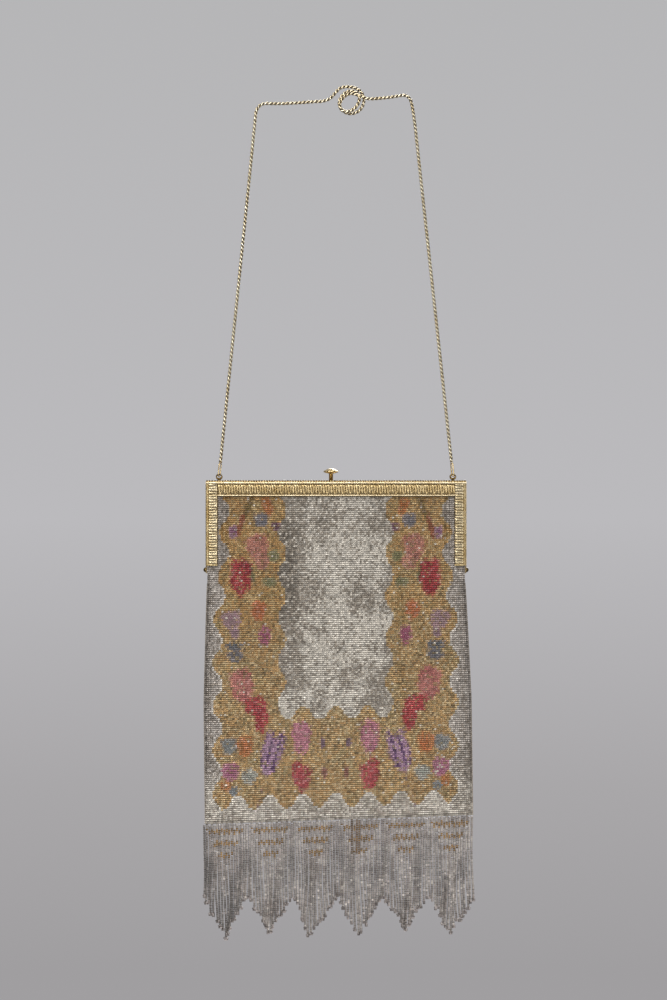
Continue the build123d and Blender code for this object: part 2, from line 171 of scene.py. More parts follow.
# %% [markdown]
# Light: a large soft lamp above the camera to the left, a weaker one on the right, one behind, one on top,
# and a grey room that is dark at its sides. Polished metal only looks like metal when it has both light and
# dark to mirror. Round the purse stands one paper bowl, floor and wall in one sweep, so every view has the
# same plain ground. It is shown to the camera alone and glows there in greys painted to change with height,
# as light would fall on a studio sheet, and takes no part in the lighting.

# %% Room light and lamps
ROOM_LIGHT, ROOM_DARK, ROOM_STRENGTH = "#DADADC", "#86868A", 0.62
world = bpy.data.worlds.new("grey_room")
world.use_nodes = True
tree = world.node_tree
towards = add(tree, "SeparateXYZ", Vector=add(tree, "TexCoord").outputs["Generated"])
aside = add(tree, "Math", {"operation": "ABSOLUTE"}, _0=towards.outputs["X"])
shade = add(tree, "MapRange", {"interpolation_type": "SMOOTHSTEP"}, Value=aside.outputs["Value"],
            From_Min=0.35, From_Max=0.95)
room = mix(tree, shade.outputs["Result"], rgba(ROOM_LIGHT), rgba(ROOM_DARK))
feed(tree, tree.nodes["Background"], Color=room, Strength=ROOM_STRENGTH)
scene.world = world

for lamp_name, place, aim_tilt, width, power in (
    ("key_softbox", (-0.75, -1.9, 0.6), (65, 0, -21), 1.0, 36),
    ("fill_softbox", (1.3, -1.7, -0.1), (84, 0, 37), 1.0, 18),
    ("back_softbox", (0.4, 1.9, 0.6), (-65, 0, -12), 1.0, 26),
    ("top_softbox", (0.0, -0.35, 1.2), (13, 0, 0), 0.8, 9),
):
    lamp_data = bpy.data.lights.new(lamp_name, "AREA")
    lamp_data.shape = "SQUARE"
    lamp_data.size = width
    lamp_data.energy = power
    lamp = bpy.data.objects.new(lamp_name, lamp_data)
    lamp.location = place
    lamp.rotation_euler = [math.radians(v) for v in aim_tilt]
    lamp.visible_camera = False
    scene.collection.objects.link(lamp)
print("lamps:", [light.name for light in bpy.data.lights])

# %% Paper bowl
BOWL_FLOOR, BOWL_RADIUS, BOWL_BEND, BOWL_TOP, BOWL_SIDES = -1.6, 3.6, 1.0, 4.0, 96
RAMP_TOP = 1.0
glowing_sheet_finish, tree, shader = material("glowing_painted_sheet")
height = add(tree, "SeparateXYZ", Vector=add(tree, "TexCoord").outputs["Object"])
level = add(tree, "MapRange", Value=height.outputs["Z"], From_Min=BOWL_FLOOR, From_Max=RAMP_TOP)
# Painted light: the sheet glows in greys that change with height, lighter up the wall than on the floor.
painted_light_greys = add(tree, "ValToRGB", Fac=level.outputs["Result"])
painted_light_greys.color_ramp.elements[0].color = rgba("#A4A2A4")
painted_light_greys.color_ramp.elements[-1].color = rgba("#B4B4B5")
for stop, grey_hex in ((0.2, "#A09EA0"), (0.32, "#A9A7A9"), (0.5, "#BBBABD")):
    painted_light_greys.color_ramp.elements.new(stop).color = rgba(grey_hex)
feed(tree, shader, Base_Color=rgba("#000000"), Roughness=1.0, Specular_IOR_Level=0.0,
     Emission_Color=painted_light_greys.outputs["Color"], Emission_Strength=1.0)

bend = np.linspace(0, math.pi / 2, 33)
floor_reach = BOWL_RADIUS - BOWL_BEND
bowl_reach = np.concatenate([[0.001, floor_reach], floor_reach + BOWL_BEND * np.sin(bend), [BOWL_RADIUS]])
bowl_z = np.concatenate([[BOWL_FLOOR] * 2, BOWL_FLOOR + BOWL_BEND * (1 - np.cos(bend)), [BOWL_TOP]])
bowl_x, bowl_y = (bowl_reach[:, None] * wave(ring(BOWL_SIDES)) for wave in (np.cos, np.sin))
bowl_points = stacked(bowl_x, bowl_y, bowl_z[:, None]).reshape(-1, 3)
bowl_faces = grid_faces(len(bowl_z), BOWL_SIDES, closed=True)
backdrop = mesh_object("backdrop", bowl_points, [bowl_faces], glowing_sheet_finish, smooth=True, closed=False)
backdrop.visible_diffuse = False
backdrop.visible_glossy = False
backdrop.visible_shadow = False

# %% [markdown]
# The metals. The frame is gilt brass: stamped sheet with a thin skin of gold, pale on what stands out and
# brown in the hollows, where polish never reaches. Relief meshes carry that brown as a colour on their
# points. The chain has the same gilding, worn to a paler straw colour, and the clasp's leaf is blued spring
# steel.

# %% Metal finishes
POLISHED, DULLED = 0.06, 0.14
SKIN_GRAIN, SKIN_DEPTH = 0.6 * MM, 0.1 * MM


def worn_metal(name, light, deep, roughness, cloud_mm, toned=False):
    """Metal: two tones mixed by a soft cloud noise of a given size, a roughness that follows it, and a fine
    uneven skin. A toned one multiplies in the colour stored on the mesh's points."""
    made, tree, shader = material(name)
    place = add(tree, "TexCoord").outputs["Object"]
    cloud = add(tree, "TexNoise", Vector=place, Scale=1 / (cloud_mm * MM), Detail=4.0,
                Roughness=0.6)
    share = add(tree, "MapRange", Value=cloud.outputs["Fac"], From_Min=0.42, From_Max=0.7)
    tone = mix(tree, share.outputs["Result"], rgba(light), rgba(deep))
    if toned:
        stored = add(tree, "VertexColor", {"layer_name": "tone"})
        tone = mix(tree, 1.0, tone, stored.outputs["Color"], "MULTIPLY")
    rough = add(tree, "MapRange", Value=cloud.outputs["Fac"], To_Min=roughness - POLISHED,
                To_Max=roughness + DULLED)
    skin = add(tree, "TexNoise", Vector=place, Scale=1 / SKIN_GRAIN, Detail=2.0)
    bump = add(tree, "Bump", Strength=0.15, Distance=SKIN_DEPTH, Height=skin.outputs["Fac"])
    feed(tree, shader, Base_Color=tone, Roughness=rough.outputs["Result"], Normal=bump.outputs["Normal"],
         Metallic=1.0)
    return made


gilt_brass = worn_metal("gilt_stamped_brass", "#DCC594", "#A98C56", 0.28, 6)
gilt_relief = worn_metal("gilt_chased_relief", "#EDE0C2", "#CFBC95", 0.34, 6, toned=True)
aged_brass = worn_metal("aged_brass", "#705C38", "#40321A", 0.28, 3)
gilt_chain = worn_metal("gilt_rope_chain", "#F0E4C6", "#CDB88C", 0.3, 9, toned=True)
spring_steel = worn_metal("blued_spring_steel", "#6E7076", "#4A4C52", 0.35, 4)

for node in ("front_frame", "back_frame", "latch_plate", "clasp_striker"):
    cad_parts[node].data.materials.clear()
    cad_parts[node].data.materials.append(gilt_brass)
print("metals:", [m.name for m in bpy.data.materials if "gilt" in m.name or "steel" in m.name])

# %% [markdown]
# The chain. A rope chain is small links hooked so closely that they read as two strands twisted about each
# other, with a notch where link meets link. So each strand is a tube on a helix, and its radius dips once a
# link. Its line is one smooth spline on the points of the CAD route, from the left end link over the left
# support, twice round a loose loop that takes up the slack, and down to the right link.

# %% Chain route
CHAIN_ROUTE_MM = [
    (-77.8, 0, -241.6), (-54.9, 0, -17.6), (-53.6, 0, 0.2), (-38, 0, -0.6), (-16, 0.2, 0.9),
    (-5.6, 0.8, 1.6), (-0.8, 1.2, 6.6), (3, 1.4, 11.2), (12.6, 1.6, 11.2), (17.9, 1.5, 7.1),
    (19.2, 1.3, 0.6), (16, 1.1, -5.2), (9.9, 0.7, -7.6), (3.9, 0.2, -5.3), (1.6, -0.4, 0.2),
    (3.6, -0.9, 4.8), (7.4, -1.2, 7.8), (12.2, -1.4, 8.2), (15.8, -1.5, 5.2), (15.6, -1.7, 0.6),
    (13, -2, -3.6), (8.6, -2.3, -6.2), (4, -2.6, -5.6), (2, -2.8, -1.6), (4, -2.8, 3),
    (8.8, -2.4, 6.6), (14.6, -1.6, 5.6), (20.4, -0.8, 2.8), (27, 0, 3), (38, 0, 4.1),
    (49.4, 0, 6.2), (52.2, 0, -6.2), (54.8, 0, -30), (77.7, 0, -241.6),
]

route_data = bpy.data.curves.new("chain_route", "CURVE")
route_data.dimensions = "3D"
spline = route_data.splines.new("NURBS")
spline.points.add(len(CHAIN_ROUTE_MM) - 1)
route_points = [(x * MM, y * MM, z * MM, 1) for x, y, z in CHAIN_ROUTE_MM]
spline.points.foreach_set("co", np.array(route_points).ravel())
spline.order_u = 3
spline.use_endpoint_u = True
spline.resolution_u = 24
route_object = bpy.data.objects.new("chain_route", route_data)
scene.collection.objects.link(route_object)
bpy.context.view_layer.update()
route_drawn = route_object.evaluated_get(bpy.context.evaluated_depsgraph_get())
route_mesh = bpy.data.meshes.new_from_object(route_drawn)
route = np.empty(3 * len(route_mesh.vertices))
route_mesh.vertices.foreach_get("co", route)
route = route.reshape(-1, 3)
bpy.data.objects.remove(route_object)
bpy.data.meshes.remove(route_mesh)
walked = np.concatenate([[0], np.cumsum(np.linalg.norm(np.diff(route, axis=0), axis=1))])
chain_length = walked[-1]
print("chain length", round(chain_length, 4), "m from", len(route), "points")


# %% Helpers for strands
def unit(vectors):
    """The same directions, each with length 1."""
    return vectors / np.linalg.norm(vectors, axis=-1, keepdims=True)


def smooth_step(value, low, high):
    """Rises from 0 at low to 1 at high along 3t^2 - 2t^3."""
    t = np.clip((value - low) / (high - low), 0, 1)
    return t * t * (3 - 2 * t)


def joined(parts):
    """Several parts, each an array of points and a list of face arrays, as one."""
    starts = np.cumsum([0] + [len(points) for points, groups in parts])
    faces = [group + start for (points, groups), start in zip(parts, starts) for group in groups]
    return np.concatenate([points for points, groups in parts]), faces


def paint(made, colours):
    """Store a colour for every point of a mesh, for its material to read."""
    attribute = made.data.color_attributes.new("tone", "FLOAT_COLOR", "POINT")
    flat = np.concatenate([colours, np.ones((len(colours), 1))], axis=1)
    attribute.data.foreach_set("color", flat.astype(np.float32).ravel())


# %% Chain links
def along_route(distance):
    """Points on the chain's line at given distances from its start."""
    return np.stack([np.interp(distance, walked, route[:, axis]) for axis in range(3)], axis=-1)


def strand_tube(centres, out, radius, sides):
    """A round strand along a line of centres: each point is centre + r (out cos b + beside sin b), where
    beside is square to the line and to out. Its two ends are closed with flat faces."""
    ahead = unit(np.gradient(centres, axis=0))
    beside = unit(np.cross(ahead, out))
    b = ring(sides)[None, :, None]
    section = np.cross(beside, ahead)[:, None, :] * np.cos(b) + beside[:, None, :] * np.sin(b)
    points = centres[:, None, :] + radius[:, None, None] * section
    ends = np.stack([np.arange(sides), (len(centres) - 1) * sides + np.arange(sides)[::-1]])
    return points.reshape(-1, 3), [grid_faces(len(centres), sides, closed=True)[:, ::-1], ends]


ROPE_TURN = 5.5 * MM
STRAND_OFFSET = 0.66 * MM
STRAND_RADIUS = 0.62 * MM
LINK_STEP = 1.1 * MM
LINK_NOTCH = 0.2
CHAIN_GROOVE_SHADE = linear("#5E4A2C")
FULL_SHADE_AT, NO_SHADE_AT = -0.5, 0.75
STRAND_STEP = 0.4 * MM
STRAND_SIDES = 8
LOOK_AHEAD = 1.0 * MM

strand_at = np.arange(0, chain_length, STRAND_STEP)
heading = unit(along_route(strand_at + LOOK_AHEAD) - along_route(strand_at - LOOK_AHEAD))
level_side = unit(np.cross(heading, np.array([0.0, 1.0, 0.0])))
level_front = np.cross(level_side, heading)
chain_parts, chain_tones = [], []
for first_turn in (0, math.pi):
    twist = (2 * math.pi * strand_at / ROPE_TURN + first_turn)[:, None]
    out = level_side * np.cos(twist) + level_front * np.sin(twist)
    notch = 1 - LINK_NOTCH * np.abs(np.cos(math.pi * strand_at / LINK_STEP + first_turn / 2)) ** 3
    strand_line = along_route(strand_at) + STRAND_OFFSET * out
    chain_parts.append(strand_tube(strand_line, out, STRAND_RADIUS * notch, STRAND_SIDES))
    # Painted shade: each strand darkens on the side that faces the other strand, where the two meet in a
    # groove.
    unshaded = smooth_step(np.cos(ring(STRAND_SIDES))[None, :] * notch[:, None], FULL_SHADE_AT, NO_SHADE_AT)
    chain_tones.append(CHAIN_GROOVE_SHADE + (1 - CHAIN_GROOVE_SHADE) * unshaded.reshape(-1, 1))
chain_points, chain_faces = joined(chain_parts)
chain = mesh_object("rope_chain", chain_points, chain_faces, gilt_chain, smooth=True)
paint(chain, np.concatenate(chain_tones))
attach(chain, "chain")
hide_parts("chain_left_run", "chain_right_run", "chain_coil")

# %% [markdown]
# Small turned and bent parts of the metalwork: eyes, end links, hinge pins and the push button. CAD has
# them in flat facets to keep the solid light. Here each is a profile turned about an axis or a round wire
# bent to shape.

# %% Sizes of the small metalwork
SWING_Z = -249.6
HINGE_X, HINGE_Z = 87.5, -313.98
FRAME_TOP = -254.98
EYE_X = 78.6
EYE_RADIUS, EYE_WIRE, EYE_SWELL = 1.78, 0.5, 0.35
EYE_FOOT = [(0.0, 0.0), (0.0, 1.35), (0.35, 1.3), (0.7, 0.75), (1.3, 0.62), (1.75, 0.8), (1.75, 0.0)]
LINK_LEAN, LINK_TURN = math.radians(5.8), math.radians(26)
OVAL_RADIUS, OVAL_WIRE, OVAL_LENGTH = 1.4, 0.42, 6.2
PIN_SHANK = [(-2.1, 0.0), (-2.1, 1.5), (-1.6, 1.5), (-1.6, 0.9), (0.05, 0.9), (0.05, 1.35)]
PIN_HEAD, PIN_HEAD_FOOT = 1.7, 0.05


# %% Turned and bent shapes
def turned(profile, origin, axis, beside, sides=32, flute=0.0, flutes=10):
    """A profile of (height, radius) turned about an axis. The radius may wave round the axis as r (1 +
    flute cos(flutes a)). Both ends of the profile lie on the axis, so the surface is closed."""
    high, reach = (np.array(column)[:, None, None] for column in zip(*profile))
    a = ring(sides)[None, :, None]
    axis, beside = np.array(axis, float), np.array(beside, float)
    spread = beside * np.cos(a) + np.cross(axis, beside) * np.sin(a)
    points = np.array(origin) + axis * high + spread * reach * (1 + flute * np.cos(flutes * a))
    return points.reshape(-1, 3), [grid_faces(len(profile), sides, closed=True)]


def bent_wire(path, radius, sides, up):
    """A closed wire: a circle of the wire's radius, one for all or one a point, carried along a closed path
    that lies in a plane with a given normal."""
    ahead = unit(np.roll(path, -1, axis=0) - np.roll(path, 1, axis=0))
    across = np.cross(ahead, up)
    b = ring(sides)[None, :, None]
    section = across[:, None, :] * np.cos(b) + np.array(up) * np.sin(b)
    points = path[:, None, :] + np.reshape(radius, (-1, 1, 1)) * section
    faces = grid_faces(len(path) + 1, sides, closed=True) % (len(path) * sides)
    return points.reshape(-1, 3), [faces]

# %% Eyes, links and pins
eye_parts, link_parts, pin_parts = [], [], []
round_turn = ring(40)
half_turn = np.linspace(0, math.pi, 17)
quarter_turn = np.linspace(0, math.pi / 2, 9)
eye_wire = EYE_WIRE + EYE_SWELL * np.clip(-np.sin(round_turn), 0, 1)
eye_middle = EYE_RADIUS + EYE_WIRE - eye_wire
eye_z = SWING_Z - EYE_RADIUS + eye_middle * np.sin(round_turn)
bend_side = np.concatenate([np.cos(half_turn), -np.cos(half_turn)])[:, None] * OVAL_RADIUS
bend_up = np.concatenate([OVAL_LENGTH + OVAL_RADIUS * np.sin(half_turn), -OVAL_RADIUS * np.sin(half_turn)])
dome = [(PIN_HEAD_FOOT + PIN_HEAD * math.sin(t), PIN_HEAD * math.cos(t)) for t in quarter_turn[:-1]]
pin = PIN_SHANK + dome + [(PIN_HEAD_FOOT + PIN_HEAD, 0.0)]
for hand in (-1, 1):
    eye_ring = stacked(hand * EYE_X + eye_middle * np.cos(round_turn), 0.0, eye_z)
    eye_parts.append(bent_wire(eye_ring, eye_wire, 12, (0.0, 1.0, 0.0)))
    eye_parts.append(turned(EYE_FOOT, (hand * EYE_X, 0, FRAME_TOP), (0, 0, 1), (1, 0, 0), 20))
    link_up = np.array([-hand * math.sin(LINK_LEAN), 0, math.cos(LINK_LEAN)])
    link_side = np.array([-hand * math.sin(LINK_TURN) * math.cos(LINK_LEAN), math.cos(LINK_TURN),
                          -math.sin(LINK_TURN) * math.sin(LINK_LEAN)])
    oval = np.array([hand * EYE_X, 0, SWING_Z]) + link_side * bend_side + link_up * bend_up[:, None]
    link_parts.append(bent_wire(oval, OVAL_WIRE, 10, np.cross(link_side, link_up)))
    pin_parts.append(turned(pin, (hand * HINGE_X, 0, HINGE_Z), (hand, 0, 0), (0, 1, 0), 24))

for piece_name, parts, node, body, finish in (
    ("chain_eye_rings", eye_parts, "chain_eyes", "purse", aged_brass),
    ("oval_end_links", link_parts, "end_links", "chain", gilt_brass),
    ("ball_head_pins", pin_parts, "hinge_pins", "purse", aged_brass),
):
    piece_points, piece_faces = joined(parts)
    piece = mesh_object(piece_name, piece_points * MM, piece_faces, finish, smooth=True, weld=True)
    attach(piece, body)
    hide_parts(node)

# %% Push button
BUTTON_X = -3.4
HEAD_Z = FRAME_TOP + 5.8
SCALLOP_DEPTH = 0.045
STEM = [(-12.7, 0.0), (-12.7, 1.4), (-0.3, 1.4), (0.0, 1.9), (0.3, 0.0)]
HEAD = [(0.0, 0.0), (0.0, 1.9), (0.35, 3.4), (0.75, 4.5), (1.1, 4.8), (1.5, 4.8), (1.8, 4.5), (2.1, 4.1),
        (2.25, 3.6), (2.9, 2.6), (3.25, 1.4), (3.4, 0.0)]
stem = turned(STEM, (BUTTON_X, 0, HEAD_Z), (0, 0, 1), (1, 0, 0), 24)
head = turned(HEAD, (BUTTON_X, 0, HEAD_Z), (0, 0, 1), (1, 0, 0), 80, SCALLOP_DEPTH)
button_points, button_faces = joined([stem, head])
button = mesh_object("scalloped_button", button_points * MM, button_faces, gilt_brass, smooth=True,
                     weld=True)
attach(button, "button")
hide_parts("clasp_button")

# %% [markdown]
# The chased relief of the frame. Tongue-shaped petals stand side by side in the sunk field, pointing up and
# down by turns, and a rounded moulding runs along each rim. Every strip is a height over a flat field: a
# formula of the place along the strip and across it. Height also drives the tone, so hollows go brown,
# and each strip's raised tone is a painted light or shade.

# %% Sizes and tones of the relief
FRAME_WIDTH, FRAME_HEIGHT, FRAME_FACE = 175.0, 56.0, 6.5
BAR_HEIGHT, ARM_WIDTH = 9.5, 8.0
TOP_RIM, BOTTOM_RIM, SIDE_RIM, END_RIM, RIM_RISE = 1.3, 1.0, 1.6, 0.8, 0.7
PETAL_PITCH = 2.5
PETAL_RISE = 0.7
PETAL_STEPS = 14
BAR_SPLIT, ARM_SPLIT = 0.75, 0.5
BROAD_PLACE, BROAD_HALF, BROAD_GROWTH, SPLIT_HALF = 0.75, 0.66, 0.13, 0.17
# Raised tones are painted light and shade on one gilt, strip by strip: a painted highlight on the rims, the
# arms lit paler, and the bar and the arms' outer rims shaded darker. The hollow tone is the brown of the
# hollows.
HOLLOW_TONE, BAR_SHADED_TONE, ARM_LIT_TONE = "#8A7A60", "#BAAF98", "#BEB9AF"
RIM_HIGHLIGHT_TONE, SIDE_RIM_SHADED_TONE = "#E6E1D8", "#9A9180"
HOLLOW_AT, WORN_AT = 0.08, 0.5
TOP_MOULD, LOW_MOULD, SIDE_MOULD, SIDE_SHARE = 0.35, 0.3, 0.2, 0.8
BEDDED, CREASE = 0.05, math.radians(50)


# %% Petals and mouldings
def petal_height(along, across, split_depth):
    """Height from 0 to 1 over a strip. along counts petals from 0, across runs from -1 to 1. Petals go in
    pairs: a broad one, split down its middle, and a narrow one that points the other way. The broad one's
    half width grows with across as the narrow one's shrinks. A section is sqrt(1 - t^n) with t = offset /
    half width, where n is 4 for the broad one and 2 for the narrow one. The split is a dip about the broad
    petal's middle line that fades before its ends."""
    from_broad = np.abs(along % 2.0 - BROAD_PLACE)
    from_narrow = np.abs((along % 2.0 - BROAD_PLACE) % 2.0 - 1.0)
    broad_half = BROAD_HALF + BROAD_GROWTH * across
    ends = np.clip(1 - np.abs(across) ** 5, 0, 1)
    broad = np.sqrt(np.clip(1 - (from_broad / broad_half) ** 4, 0, 1))
    narrow = np.sqrt(np.clip(1 - (from_narrow / (1.0 - broad_half)) ** 2, 0, 1))
    split = np.exp(-(from_broad / SPLIT_HALF) ** 2)
    split = split * smooth_step(across, -0.95, -0.5) * smooth_step(-across, -0.8, -0.35)
    return np.maximum(broad * (1 - split_depth * split), narrow * (from_broad > broad_half)) * ends


def relief_slab(place_along, place_across, height, back):
    """A closed slab: the height field as its front, two straight rows as its back, and walls between. The
    three arrays are rows across by columns along; a point is (along, across, height)."""
    rows, columns = height.shape
    front = stacked(place_along, place_across, height)
    behind = np.stack([front[0], front[-1]])
    behind[..., 2] = back
    points = np.concatenate([front.reshape(-1, 3), behind.reshape(-1, 3)])
    index = np.arange(rows * columns).reshape(rows, columns)
    low, high = rows * columns + np.arange(columns), rows * columns + columns + np.arange(columns)
    walls = [np.stack([a[:-1], b[:-1], b[1:], a[1:]], -1)
             for a, b in ((low, index[0]), (index[-1], high), (high, low))]
    first_end = np.concatenate([index[::-1, 0], [low[0], high[0]]])[None, :]
    last_end = np.concatenate([index[:, -1], [high[-1], low[-1]]])[None, :]
    return points, [grid_faces(rows, columns), np.concatenate(walls), first_end, last_end]


def petal_strip(start, end, low, high, split_depth):
    """A strip of petals from start to end, between two edges."""
    count = 2 * int((end - start) / PETAL_PITCH / 2)
    along = np.linspace(0, count, count * PETAL_STEPS + 1)[None, :]
    across = np.linspace(-1, 1, 17)[:, None]
    height = petal_height(along, across, split_depth)
    place_along = start + (end - start) * along / count
    place_across = (low + high) / 2 + (high - low) / 2 * across
    return relief_slab(place_along, place_across, BEDDED + PETAL_RISE * height, -BEDDED)


def moulding(start, end, low, high, rise):
    """A half-round moulding: height is rise sqrt(1 - across^2)."""
    along = np.linspace(start, end, max(2, int((end - start) / 4)))[None, :]
    turn = np.linspace(-math.pi / 2, math.pi / 2, 11)[:, None]
    height = RIM_RISE + rise * np.cos(turn) + 0 * along
    return relief_slab(along, (low + high) / 2 + (high - low) / 2 * np.sin(turn), height, RIM_RISE - 0.3)


# %% Relief of both halves
def frame_relief(name, body, node, facing):
    """All strips of one frame half, laid on its face. Strips of the arms swap along and across."""
    half = FRAME_WIDTH / 2
    inside = half - ARM_WIDTH
    bar_top, bar_low = FRAME_TOP - TOP_RIM, FRAME_TOP - BAR_HEIGHT + BOTTOM_RIM
    arm_end = FRAME_TOP - FRAME_HEIGHT
    upright = [(petal_strip(arm_end + END_RIM, bar_top, hand * (half - SIDE_RIM), hand * inside, ARM_SPLIT),
                ARM_LIT_TONE) for hand in (-1, 1)]
    rim_inside = half - SIDE_RIM * SIDE_SHARE
    upright += [(moulding(arm_end, FRAME_TOP, hand * half, hand * rim_inside, SIDE_MOULD), SIDE_RIM_SHADED_TONE)
                for hand in (-1, 1)]
    level = [(petal_strip(-inside, inside, bar_low, bar_top, BAR_SPLIT), BAR_SHADED_TONE),
             (moulding(-half, half, FRAME_TOP - TOP_RIM, FRAME_TOP, TOP_MOULD), RIM_HIGHLIGHT_TONE),
             (moulding(-inside, inside, bar_low - BOTTOM_RIM, bar_low, LOW_MOULD), RIM_HIGHLIGHT_TONE)]
    parts, tones = [], []
    for strips, order in ((level, (0, 2, 1)), (upright, (1, 2, 0))):
        for (points, faces), raised_light_tone in strips:
            placed = points[:, order]
            placed[:, 1] = facing * (FRAME_FACE + placed[:, 1])
            parts.append((placed, faces))
            worn = smooth_step(points[:, 2], HOLLOW_AT, WORN_AT)[:, None]
            tones.append(linear(HOLLOW_TONE) * (1 - worn) + linear(raised_light_tone) * worn)
    points, faces = joined(parts)
    made = mesh_object(name, points * MM, faces, gilt_relief, smooth=True)
    made.data.set_sharp_from_angle(angle=CREASE)
    paint(made, np.concatenate(tones))
    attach(made, body)
    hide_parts(node)


frame_relief("front_chased_relief", "front_half", "front_ornament", -1)
frame_relief("back_chased_relief", "purse", "back_ornament", 1)

# %% [markdown]
# Inside the back half a steel leaf lifts the button. It is built here as one fixed strip, its foot at the
# frame and its tip under the stem, with a smooth bend between.

# %% Spring leaf
LEAF_FOOT, LEAF_TIP = (-23.4, -255.98), (-0.9, -262.18)
LEAF_WIDTH, LEAF_THICK, LEAF_STEPS = 3.0, 0.4, 46
LEAF_BENDS = (-19.4, -5.9)
leaf_x = np.linspace(LEAF_FOOT[0], LEAF_TIP[0], LEAF_STEPS)
leaf_z = LEAF_FOOT[1] + (LEAF_TIP[1] - LEAF_FOOT[1]) * smooth_step(leaf_x, *LEAF_BENDS)
leaf_y = np.array([-0.5, 0.5, 0.5, -0.5]) * LEAF_WIDTH
leaf_lift = np.array([-0.5, -0.5, 0.5, 0.5]) * LEAF_THICK
leaf_points = stacked(leaf_x[:, None], leaf_y, leaf_z[:, None] + leaf_lift).reshape(-1, 3)
leaf_ends = np.array([[3, 2, 1, 0], range(4 * LEAF_STEPS - 4, 4 * LEAF_STEPS)])
leaf_faces = [grid_faces(LEAF_STEPS, 4, closed=True), leaf_ends]
leaf = mesh_object("spring_leaf", leaf_points * MM, leaf_faces, spring_steel)
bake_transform(leaf)
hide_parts("clasp_spring")
print("spring leaf falls", LEAF_FOOT[1] - LEAF_TIP[1], "mm from foot to tip")

# %% [markdown]
# The back half's top edge is milled: a row of small bosses that shows as a dark beaded line behind the
# front rim. A boss is a cut bead, a shape that serves again for the fringe.

# %% Milled edge
BOSS_PITCH, BOSS_RADIUS, BOSS_Y = 1.75, 0.72, -2.1


def bead_corners(turns, sides):
    """Angles of the corners of beads, a row for each bead."""
    return np.reshape(turns, (-1, 1)) + np.arange(sides)[None, :] * 2 * math.pi / sides


def faceted_beads(centres, radius, tall, sides, turns, wall=0.5):
    """Cut beads: two rings of points between two poles, each bead turned by its own angle. wall is the
    share of the height between the rings, so a high wall gives a tube and a low one a lens."""
    spin = bead_corners(turns, sides)
    flat = stacked(np.cos(spin), np.sin(spin), 0.0) * radius
    lift = np.array([0, 0, 1.0]) * tall
    pole = np.broadcast_to(lift / 2, (len(centres), 1, 3))
    rings = [pole, flat + lift * wall / 2, flat - lift * wall / 2, -pole]
    points = centres[:, None, :] + np.concatenate(rings, axis=1)
    k = np.arange(sides)
    n = (k + 1) % sides
    top = np.stack([0 * k, 1 + k, 1 + n], -1)
    bottom = np.stack([0 * k + 1 + 2 * sides, 1 + sides + n, 1 + sides + k], -1)
    belt = np.stack([1 + k, 1 + sides + k, 1 + sides + n, 1 + n], -1)
    offset = (np.arange(len(centres)) * (2 * sides + 2))[:, None, None]
    caps = (np.concatenate([top, bottom])[None] + offset).reshape(-1, 3)
    return points.reshape(-1, 3), [caps, (belt[None] + offset).reshape(-1, 4)]


boss_x = np.arange(BOSS_PITCH / 2 - FRAME_WIDTH / 2, FRAME_WIDTH / 2, BOSS_PITCH)
boss_centres = stacked(boss_x, BOSS_Y, FRAME_TOP + BOSS_RADIUS)
boss_points, boss_faces = faceted_beads(boss_centres, BOSS_RADIUS, 2 * BOSS_RADIUS, 8, boss_x)
milled_edge = mesh_object("milled_edge", boss_points * MM, boss_faces, aged_brass, smooth=True)
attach(milled_edge, "purse")

# %% [markdown]
# The bag. Two panels of bead cloth meet along the sides and the bottom. Each is a closed sheet: a coarse
# inner side, and an outer side on which every bead is a small faceted pyramid of two by two quads. The
# beads lie in level rows and touch along the row, with a deeper groove between rows, as beads strung on
# warp threads do.

# %% Shape of the bag
BAG_DROP = 168.0
CLOTH_TOP = -260.48
CLOTH_FACE = 5.4
HEM_FACE = 1.25
BELLY = 1.6
TOP_WIDTH = 173.0
BOTTOM_WIDTH = 180.5
HEM_RISE = 6.1
HEM_SHIFT = 2.0
SIDE_BEVEL = 9.0
FOLDS = ((0.5, 31, 0.6), (0.35, 53, 2.1))
FOLD_DEPTH = 0.45
TUCK_X, TUCK_WIDTH, TUCK_DEPTH = 75.0, 1.8, 1.5
CLOTH = 1.2
BEAD_ROWS = 162
BEAD_COLUMNS = 128
BEAD_HEIGHT = 0.42
CLOTH_LENGTH = CLOTH_TOP - HINGE_Z + BAG_DROP
print("cloth", CLOTH_LENGTH, "mm long,", BEAD_ROWS, "rows")


def bag_surface(across, down):
    """Outer face of a panel in mm. across runs from -1 to 1 over the width, down from 0 at the cloth's top
    to 1 at the bottom seam. Depth is the CAD belly curve, drawn in to the side seams below the frame, with
    shallow upright folds that hang from the frame and fade downwards, and a tuck beside each arm."""
    drop = down * CLOTH_LENGTH
    share = np.clip((drop - (CLOTH_TOP - HINGE_Z)) / BAG_DROP, 0, 1)
    width = TOP_WIDTH + (BOTTOM_WIDTH - TOP_WIDTH) * np.minimum(share * 1.9, 1) ** 0.8
    x = across * width / 2 + HEM_SHIFT * share
    z = CLOTH_TOP - drop + HEM_RISE * across / 2 * share
    depth = CLOTH_FACE * (1 - share) + HEM_FACE * share + BELLY * np.sin(math.pi * share)
    edge = np.clip((1 - np.abs(across)) * width / 2 / SIDE_BEVEL, 0, 1)
    round_in = 1 - smooth_step(share, 0.0, 0.06) * (1 - np.sqrt(1 - (1 - edge) ** 2)) * 0.97
    folds = sum(high * np.sin(across * rate + start) for high, rate, start in FOLDS)
    folded = smooth_step(down, 0.0, 0.2) * (1 - smooth_step(down, 0.3, 0.95)) * (1 - np.abs(across) ** 4)
    beside_arm = np.exp(-((np.abs(x) - TUCK_X) / TUCK_WIDTH) ** 2)
    tuck = TUCK_DEPTH * beside_arm * (1 - smooth_step(down, 0.12, 0.3))
    return x, depth * round_in - FOLD_DEPTH * folded * (1 - folds) - tuck, z


